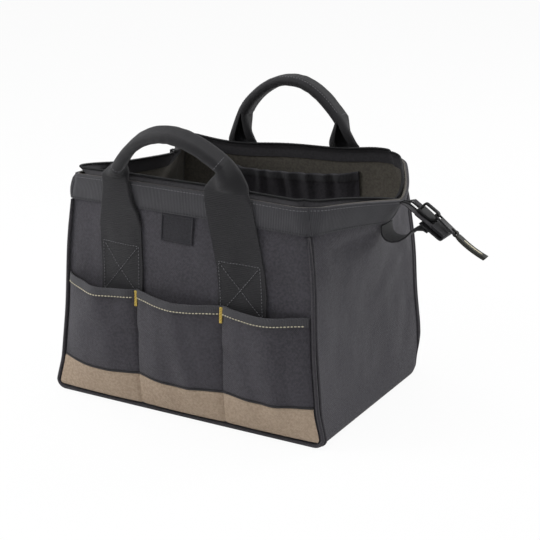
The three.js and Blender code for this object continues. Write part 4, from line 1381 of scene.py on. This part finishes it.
def corner_station(side, end, w):
    def at(z, off, lean):
        a = face_station(side, ENDS[end]["out"] * LAST_FACE)(z, off, lean)
        b = arm_station(side, end, LAST_ARM)(z, off, lean)
        c = arm_station(side, end, 1)(z, off, lean)[0], a[1]
        return tuple((1 - w) ** 2 * a[i] + 2 * w * (1 - w) * c[i] + w * w * b[i] for i in (0, 1))

    return at


def many(count, first=0.0, last=1.0):
    return [lerp(first, last, i / count) for i in range(count + 1)]


def rim_stations(side):
    arms, corners, faces = many(20, 0, LAST_ARM), many(10)[1:-1], many(56, -LAST_FACE, LAST_FACE)
    left = [(arm_station(side, "left", s), 0) for s in arms]
    left_corner = [(corner_station(side, "left", w), 0) for w in reversed(corners)]
    middle = [(face_station(side, u), 0) for u in faces]
    right_corner = [(corner_station(side, "right", w), 0) for w in corners]
    right = [(arm_station(side, "right", s), (1 - s) ** 2) for s in reversed(arms)]
    return left + left_corner + middle + right_corner + right


def tape_spot(station, level, off):
    at, tip = station
    z = rim_level(tip, level)
    x, y = at(z, -CLOTH - GAP - off, TAPE_LEAN * max(level - 1, 0))
    return x, y, z


print("stations round half of the rim:", len(rim_stations("front")))

# %% [markdown]
# The tape is a thin sheet with one row at each station. Its lower edge is sewn inside the hem, and its
# upper edge leans in over the mouth. On the tail it lies flat, where the slider runs. The hem's inner
# edge could be extruded, but it ends at the corners, and the tape runs on round them.

# %% Zipper tape
TAIL_STEPS = many(24, TAIL_START, TAIL_LENGTH)
TAPE_LENGTH, TAPE_WIDTH, TAPE_CLOTH = 560, 15, 0.7


def tail_row(side, s, level, n):
    flare = 1.6 * (1 - rise(TAIL_START, 3 * TAIL_START, s))
    y = FACES[side]["out"] * lerp(TAIL_OUTER, TAIL_COIL + COIL_RADIUS + GAP + flare, level / 2)
    return tail_point(s, y, n)


for side, face in FACES.items():
    stations = rim_stations(side)
    rows = len(stations) + len(TAIL_STEPS)

    def on_tape(u, v):
        step = round(turned(side, u) * (rows - 1))
        if step < len(stations):
            return tape_spot(stations[step], 2 * v, 0.15)
        return tail_row(side, TAIL_STEPS[step - len(stations)], 2 * v, 0.35)

    solids = [f"zipper_tape_{side}"]
    cells, flat = (rows - 1, 8), (TAPE_LENGTH, TAPE_WIDTH)
    sew(f"{side}_zipper_tape", cells, on_tape, flat, TAPE_CLOTH, "zipper_tape", solids)

# %% [markdown]
# The stations lie at uneven steps, and a coil has even turns. So a line through them is cut again at
# even steps, and smoothed a little, as nylon rounds off a corner.

# %% Lines at even steps
def evenly(points, step):
    """Points at even steps along a line of points."""
    lengths = [0.0]
    for a, b in zip(points, points[1:]):
        lengths.append(lengths[-1] + (b - a).length)
    result, k = [], 0
    for i in range(int(lengths[-1] / step) + 1):
        want = i * step
        while lengths[k + 1] < want and k < len(points) - 2:
            k += 1
        span = max(lengths[k + 1] - lengths[k], 1e-9)
        result.append(points[k].lerp(points[k + 1], (want - lengths[k]) / span))
    return result


def smoothed(line, rounds):
    for _ in range(rounds):
        inner = [(a + b * 2 + c) / 4 for a, b, c in zip(line, line[1:], line[2:])]
        line = [line[0], *inner, line[-1]]
    return line


def ahead_at(line, i, reach=1):
    """The way ahead at a point of a line."""
    return (line[min(i + reach, len(line) - 1)] - line[max(i - reach, 0)]).normalized()


def across_at(line, i, reach=1):
    """The two ways across a line at one of its points."""
    ahead = ahead_at(line, i, reach)
    side_way = ahead.cross(Vector((0, 0, 1))).normalized()
    return side_way, side_way.cross(ahead)


print("a line of 3 mm in steps of 1 mm has", len(evenly([Vector((0, 0, 0)), Vector((3, 0, 0))], 1)), "points")

# %% [markdown]
# The coil is a helix of nylon on the tape's edge, wound round a cord. A bump pattern would do from afar,
# but it would be missing from the mesh. So a thin tube is wound round the line of stations, with only
# five sides to keep it light.

# %% Coils
COIL_PITCH, TURN_STEPS, WIRE, WIND, CORE = 1.7, 10, 0.45, 1.0, 0.85


def coil_line(side):
    out = FACES[side]["out"]
    lift = Vector((0, 0, COIL_RADIUS - 0.6))
    points = [Vector(tape_spot(station, 2, 0.5)) + lift for station in rim_stations(side)]
    points[0].y += out * COIL_RADIUS / 2
    for s in many(12, TAIL_START + 1, SLIDER_HEEL):
        points.append(Vector(tail_point(s, out * TAIL_COIL, 0)))
    return points


def wound_coil(side, line):
    """A helix round the coil's line, as a thin tube of five sides."""
    wire = []
    for i, spot in enumerate(line):
        side_way, up = across_at(line, i, 4)
        angle = 2 * math.pi * i / TURN_STEPS
        wire.append(spot + (side_way * math.cos(angle) + up * math.sin(angle)) * WIND)

    def path(share):
        i = round(share * (len(line) - 1))
        centre_way = (wire[i] - line[i]).normalized()
        return wire[i], centre_way, ahead_at(wire, i).cross(centre_way)

    return tube(f"{side}_zipper_coil", path, WIRE, 5, len(line) - 1)


def coil_core(side, line):
    """The cord inside a coil, which the tape's stitches hold."""
    sparse = line[2:-2:8]

    def path(share):
        i = round(share * (len(sparse) - 1))
        return sparse[i], *across_at(sparse, i)

    return tube(f"{side}_coil_core", path, CORE, 6, len(sparse) - 1)


for side in FACES:
    line = smoothed(evenly(coil_line(side), COIL_PITCH / TURN_STEPS), 12)
    dress(wound_coil(side, line), "zipper_coil", replaces=[f"zipper_coil_{side}"], sharp=80)
    dress(coil_core(side, line), "zipper_coil", sharp=80)

# %% [markdown]
# ## Metal and moulded parts
# The slider, the pull tab, the puller and the start staple have the right shape in the CAD, but their
# edges are sharp. They could be modelled again, but a copy keeps each eye and slot where its joint is.
# The copy is merged, its flat facets are dissolved, and a Bevel modifier rounds the edges as casting
# and tumbling do.

# %% Rounded copies
def rounded_copy(node, name, edge, slot, body, segments=3, limit=30):
    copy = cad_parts[node].copy()
    copy.data = copy.data.copy()
    copy.name = copy.data.name = name
    copy.parent = None
    for key in [k for k in copy.keys() if k.startswith("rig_")]:
        del copy[key]
    bpy.context.scene.collection.objects.link(copy)
    in_edit_mode(
        copy,
        lambda: bpy.ops.mesh.remove_doubles(threshold=1e-6),
        lambda: bpy.ops.mesh.dissolve_limited(angle_limit=math.radians(1)),
    )
    settings = {"width": edge * MM, "segments": segments, "limit_method": "ANGLE"}
    apply_modifier(copy, "BEVEL", angle_limit=math.radians(limit), **settings)
    apply_modifier(copy, "TRIANGULATE", keep_custom_normals=False)
    in_edit_mode(copy, lambda: bpy.ops.uv.cube_project(cube_size=1.0))
    return dress(copy, slot, body=body, replaces=[node], sharp=40)


rounded_copy("slider", "slider_body", 0.35, "black_metal", "zipper_slider")
rounded_copy("pull_tab", "pull_tab_plate", 0.4, "black_metal", "zipper_pull_tab")
rounded_copy("puller", "puller_grip", 0.5, "puller_rubber", "zipper_puller")
rounded_copy("zipper_start_stop", "start_staple", 0.2, "black_metal", "bag")

# %% [markdown]
# A thin bright cord is set into the top of the puller, from its neck to near its tip. It could be a
# stripe in the rubber's finish, but it stands a little proud. So it is a flattened tube that follows
# the grip's bend, worked out from the CAD puller's place.

# %% Stripe in the puller
PULLER_ANGLE = math.radians(41)
PULLER_PIVOT = Vector((235.977, 0, 197.026))
PULLER_AXIS = Vector((math.cos(PULLER_ANGLE), 0, -math.sin(PULLER_ANGLE)))
PULLER_UP = Vector((math.sin(PULLER_ANGLE), 0, math.cos(PULLER_ANGLE)))
PULLER_NECK, PULLER_LENGTH, PULLER_BEND = 2.5, 34, 6


def puller_spot(t, lift):
    """A place on the puller's bent middle line, lifted off it."""
    along = PULLER_AXIS * (PULLER_NECK + PULLER_LENGTH * t)
    return PULLER_PIVOT + along + PULLER_UP * (PULLER_BEND * t * t + lift)


def stripe_path(share):
    t = lerp(0.22, 0.86, share)
    ahead = (puller_spot(t + 0.01, 1.6) - puller_spot(t - 0.01, 1.6)).normalized()
    round_end = math.sqrt(max(1 - abs(2 * share - 1) ** 8, 0.05))
    across = Vector((0, 1, 0))
    return puller_spot(t, 1.62), across * round_end, ahead.cross(across) * round_end


stripe = tube("puller_stripe", stripe_path, 1.15, 10, 40, flat=0.6)
dress(stripe, "yellow_thread", body="zipper_puller", finish="cream_thread")
box_low, box_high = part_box("puller")
print("puller from", [round(c, 4) for c in box_low], "to", [round(c, 4) for c in box_high])

# %% [markdown]
# ## Tail end
# A piece of webbing is folded round the ends of the two tapes, and a loop of the same webbing ties the
# tail to the end of the bag. Both could be extruded edge by edge, but that leaves corners. So they are
# strips that follow a line seen from the side: a few points are given, and the line is rounded
# through them as stiff webbing would bend.

# %% Tail tab and loop strap
def smooth_line(points, count):
    """A rounded line through points, at even steps."""
    line = smoothed(evenly([Vector(p) for p in points], 0.5), 10)
    total = sum((b - a).length for a, b in zip(line, line[1:]))
    return evenly(line, total / count - 1e-6)


def side_strip(name, line, width, thickness, curl=0.0):
    rows = len(line) - 1

    def on_strip(u, v):
        i = round(v * rows)
        ahead = ahead_at(line, i)
        out = Vector((ahead.z, 0, -ahead.x))
        across = 2 * u - 1
        spot = line[i] + out * curl * across * across
        return spot.x, across * width / 2, spot.z

    piece = grid(name, (24, rows), on_strip, (width, rows * 0.8))
    return thicken(piece, thickness, offset=0.0)


PLATE_OUT = 3.6
UNDER = PLATE_OUT + 0.3 + 0.75
tab_line = [tail_point(s, 0, n) for s, n in (
    (24.2, -UNDER), (49.5, -UNDER), (51, -UNDER + 0.8), (51.1, 0), (50.6, 1.3), (49, 1.6), (34.6, 1.6))]
tail_tab = side_strip("tail_tab_webbing", smooth_line(tab_line, 70), 25, 1.4)
dress(tail_tab, "webbing", replaces=["tail_tab"])

LOOP_Z = end_height("right", 0, HEM_SHARE) - 2 * GAP
LOOP_X = end_reach("right", 0, LOOP_Z) + 2 * END_HEM_GAP + 0.9
LOOP_UNDER = PLATE_OUT + 1.5 + 0.6 + 0.9
LOOP_DROOP = [(0, 0), (0, 0.35), (0.03, 0.7), (0.14, 0.95), (0.3, 1), (0.5, 0.86), (0.7, 0.5), (0.86, 0)]
loop_points = [(LOOP_X + 36 * a, 0, LOOP_Z - 14 * b) for a, b in LOOP_DROOP]
loop_points += [tail_point(s, 0, -LOOP_UNDER - down) for s, down in ((26, 5), (31, 0.6), (36, 0))]
tail_loop = side_strip("tail_loop_strap", smooth_line(loop_points, 110), 24, 1.7, curl=0.5)
dress(tail_loop, "webbing", replaces=["tail_strap"])

# %% [markdown]
# ## Stitching
# A stitch is modelled once, as a short thick thread. An Array modifier repeats it and a Curve modifier
# bends the row onto its line. Copies set by hand would come loose when a wall changes.

# %% Rows of stitches
STITCH_STEP = 1.0


def line_of(points):
    curve = bpy.data.curves.new("stitch_line", "CURVE")
    curve.dimensions = "3D"
    spline = curve.splines.new("POLY")
    spline.points.add(len(points) - 1)
    for spot, point in zip(points, spline.points):
        point.co = (*(c * MM for c in spot), 1)
    guide = bpy.data.objects.new("stitch_line", curve)
    bpy.context.scene.collection.objects.link(guide)
    return guide


def stitches(name, points, pitch, length, radius, thread="cream_thread", body="bag"):
    """A row of stitches along points in millimetres."""
    line = evenly([Vector(p) for p in points], STITCH_STEP)
    total = (len(line) - 1) * STITCH_STEP
    alone()
    bpy.ops.mesh.primitive_uv_sphere_add(segments=6, ring_count=4, radius=1)
    stitch = bpy.context.active_object
    stitch.name = stitch.data.name = name
    for vertex in stitch.data.vertices:
        x, y, z = vertex.co
        vertex.co = (z * length / 2 + pitch / 2) * MM, y * radius * MM, x * radius * MM
    in_edit_mode(stitch, lambda: bpy.ops.mesh.normals_make_consistent(inside=False))
    guide = line_of(line)
    row = {"use_relative_offset": False, "use_constant_offset": True}
    row["constant_offset_displace"] = (pitch * MM, 0, 0)
    apply_modifier(stitch, "ARRAY", count=max(int(total / pitch), 1), **row)
    apply_modifier(stitch, "CURVE", object=guide, deform_axis="POS_X")
    bpy.data.objects.remove(guide)
    return dress(stitch, "yellow_thread", body=body, finish=thread, sharp=80)


def along_face(side, spots, off):
    """Points on a wall between x and z corners, with off as a function of x and z."""
    points = []
    for (x0, z0), (x1, z1) in zip(spots, spots[1:]):
        steps = max(int(math.hypot(x1 - x0, z1 - z0) / 2), 1)
        points += [(lerp(x0, x1, i / steps), lerp(z0, z1, i / steps)) for i in range(steps)]
    points.append(spots[-1])
    return [face_point(side, x, z, off(x, z)) for x, z in points]


print("rows of stitches follow points", STITCH_STEP, "mm apart")

# %% [markdown]
# Thread holds the hem along both edges, and the tape on the pockets. Drawn in the finish, it would be
# flat where it is seen from the side. So each row is real, and follows the formula of the cloth that it
# holds, a little further out.

# %% Stitches on the hems and pockets
HEM_OUT = GAP + HEM_THICKNESS + 0.35
HEM_THREAD = {"pitch": 3.4, "length": 2.5, "radius": 0.36}
FACE_ROWS = (("low", HEM_BOTTOM + 1.8, "dark_thread"), ("top", HEM_TOP - 2.6, "grey_thread"))
END_ROWS = (("low", 0.07, "dark_thread"), ("top", 0.9, "grey_thread"))

for side in FACES:
    edge = TOP_LENGTH / 2 + 2
    for name, z, thread in FACE_ROWS:
        line = along_face(side, [(-edge, z), (edge, z)], lambda x, z: HEM_OUT)
        stitches(f"{side}_hem_stitches_{name}", line, thread=thread, **HEM_THREAD)

for side, end in ENDS.items():
    for name, share, thread in END_ROWS:
        line = []
        for t in many(70, -0.985, 0.985):
            z = lerp(end_height(side, t, HEM_SHARE), end_top(side, t), share)
            line.append(end_point(side, t * half_width(z), z, END_HEM_GAP + HEM_THICKNESS + 0.3))
        stitches(f"{side}_end_hem_stitches_{name}", line, thread=thread, **HEM_THREAD)

for side in FACES:
    for span in SPANS:
        line = []
        for share in many(48, 0.012, 0.988):
            z = dipped(POCKET_TOP, POCKET_DIP, share) - 6.4
            line.append(pocket_point(side, span, share, z, BAND_BASE + 1.15))
        stitches(f"{side}_pocket_stitches_{span}", line, pitch=3.4, length=2.7, radius=0.6)

# %% [markdown]
# A strap that carries weight is sewn down with a box and a cross in it. Its four sides and two
# diagonals follow the strap's slant.

# %% Stitches on the straps
STRAP_THREAD = {"pitch": 3.2, "length": 2.3, "radius": 0.36, "thread": "grey_thread"}


def strap_out(x, z):
    return strap_lift(z) + WEBBING + 0.12


for side in FACES:
    for name, hand in (("left", -1), ("right", 1)):
        def corner(across, z):
            return strap_middle(side, hand, z) + across, z

        low, high, half = 122, 171, 22
        frame_line = [corner(-half, low), corner(-half, high), corner(half, high), corner(half, low)]
        line = along_face(side, frame_line, strap_out)
        stitches(f"{side}_strap_box_{name}", line, **STRAP_THREAD)
        for way, sign in (("up", 1), ("down", -1)):
            cross = [corner(-half * sign, low), corner(half * sign, high)]
            line = along_face(side, cross, lambda x, z: strap_out(x, z) + 0.15)
            stitches(f"{side}_strap_cross_{name}_{way}", line, **STRAP_THREAD)

# %% [markdown]
# A long seam closes each rolled grip, and a ring of stitches holds it at both ends. They ride with the
# handle, so they are moved with the cloth here, before they are bent onto their line.

# %% Stitches on the grips
GRIP_SEAM = {"pitch": 3.4, "length": 2.4, "radius": 0.36, "thread": "grey_thread"}
GRIP_RING = {"pitch": 3.0, "length": 2.1, "radius": 0.36, "thread": "grey_thread"}
GRIP_LIFT = 1.05

for side, face in FACES.items():
    slit = -face["out"] * (WEBBING_WIDTH / 2 - 4.5)
    seam = [given(*grip_spot(side, share, slit, GRIP_LIFT)) for share in many(120, 0.17, 0.83)]
    stitches(f"{side}_grip_seam", seam, body=f"{side}_handle", **GRIP_SEAM)
    for name, share in (("left", 0.165), ("right", 0.835)):
        ring = [given(*grip_spot(side, share, q, GRIP_LIFT)) for q in many(24, -16, 16)]
        stitches(f"{side}_grip_ring_{name}", ring, body=f"{side}_handle", **GRIP_RING)

# %% [markdown]
# ## Floor, light and camera
# The bag stands on a plain pale floor. Where the camera or a reflection sees the floor, most of it is a
# plain white glow, so it looks white with no more light on the bag, and it keeps the bag's shadow.

# %% Floor
FLOOR_GLOW, FLOOR_SIZE, FLOOR_DROP = 0.94, 12, 0.0004
alone()
bpy.ops.mesh.primitive_plane_add(size=FLOOR_SIZE, location=(0, 0, -FLOOR_DROP))
floor = bpy.context.active_object
floor.name = "floor"
pale = Finish("pale_floor")
pale.set(Base_Color=(0.9, 0.9, 0.9, 1), Roughness=0.9, Specular_IOR_Level=0.1)
seen_ray = pale.node("ShaderNodeLightPath", output=0)
glossy_ray = Wire(pale, seen_ray.socket.node.outputs["Is Glossy Ray"])
through_ray = Wire(pale, seen_ray.socket.node.outputs["Is Transmission Ray"])
bright = pale.node("ShaderNodeEmission", None, {"Color": (1, 1, 1, 1), "Strength": 1.0})
matt = Wire(pale, pale.shader.outputs[0])
share = (seen_ray + glossy_ray + through_ray) * FLOOR_GLOW
lit = pale.node("ShaderNodeMixShader", None, {0: share, 1: matt, 2: bright})
pale.tree.links.new(lit.socket, pale.tree.nodes["Material Output"].inputs[0])
floor.data.materials.append(pale.material)
print("floor", FLOOR_SIZE, "m across")

# %% [markdown]
# Three large lamps give plain studio light. A sun or a small lamp would cast hard shadows, and large
# lamps make soft ones. They are kept weak enough for a colour to render about as it is written.

# %% Soft lamps
def soft_lamp(name, place, target, size, power):
    lamp = bpy.data.lights.new(name, "AREA")
    lamp.shape = "DISK"
    lamp.size = size
    lamp.energy = power
    holder = bpy.data.objects.new(name, lamp)
    holder.location = place
    holder.rotation_euler = (Vector(target) - Vector(place)).to_track_quat("-Z", "Y").to_euler()
    bpy.context.scene.collection.objects.link(holder)
    print(name, power, "W")


soft_lamp("top_lamp", (-0.1, 0, 2.2), (0, 0, 0.1), 1.6, 28)
soft_lamp("left_lamp", (-1.0, -0.7, 0.8), (-0.08, 0, 0.12), 0.8, 8.5)
soft_lamp("right_lamp", (1.1, 1.6, 0.95), (0.1, 0, 0.12), 1.0, 15)

# %% [markdown]
# The room fills in the shadows evenly. Seen straight by the camera, it is plain white, so the backdrop
# stays pale with no more light on the bag.

# %% Pale room
ROOM_STRENGTH = 0.38
world = bpy.data.worlds.new("pale_room")
bpy.context.scene.world = world
world.use_nodes = True
nodes, links = world.node_tree.nodes, world.node_tree.links
nodes.clear()
room = nodes.new("ShaderNodeBackground")
room.inputs["Color"].default_value = (0.86, 0.88, 0.9, 1)
room.inputs["Strength"].default_value = ROOM_STRENGTH
seen = nodes.new("ShaderNodeBackground")
seen.inputs["Color"].default_value = (1, 1, 1, 1)
rays = nodes.new("ShaderNodeLightPath")
either = nodes.new("ShaderNodeMath")
either.operation = "MAXIMUM"
swap = nodes.new("ShaderNodeMixShader")
output = nodes.new("ShaderNodeOutputWorld")
for start, end in (
    (rays.outputs["Is Camera Ray"], either.inputs[0]),
    (rays.outputs["Is Transmission Ray"], either.inputs[1]),
    (either.outputs[0], swap.inputs[0]),
    (room.outputs[0], swap.inputs[1]),
    (seen.outputs[0], swap.inputs[2]),
    (swap.outputs[0], output.inputs[0]),
):
    links.new(start, end)
print("room light", ROOM_STRENGTH)

# %% [markdown]
# The camera has the angle and the lens that were fitted to the photograph's view of the bag. A fit gives
# a longer lens than a guess by eye, and with it the bag's upright edges lean as they should.

# %% Camera
camera = bpy.data.cameras.new("camera")
camera.lens = 101.0
camera.sensor_width = 36
holder = bpy.data.objects.new("camera", camera)
holder.location = (0.75906, -1.28486, 0.62444)
holder.rotation_euler = (math.radians(90 - 18.622), 0, math.radians(29.467))
bpy.context.scene.collection.objects.link(holder)
bpy.context.scene.camera = holder
bpy.context.scene.view_settings.view_transform = "Standard"
print("lens of", camera.lens, "mm")
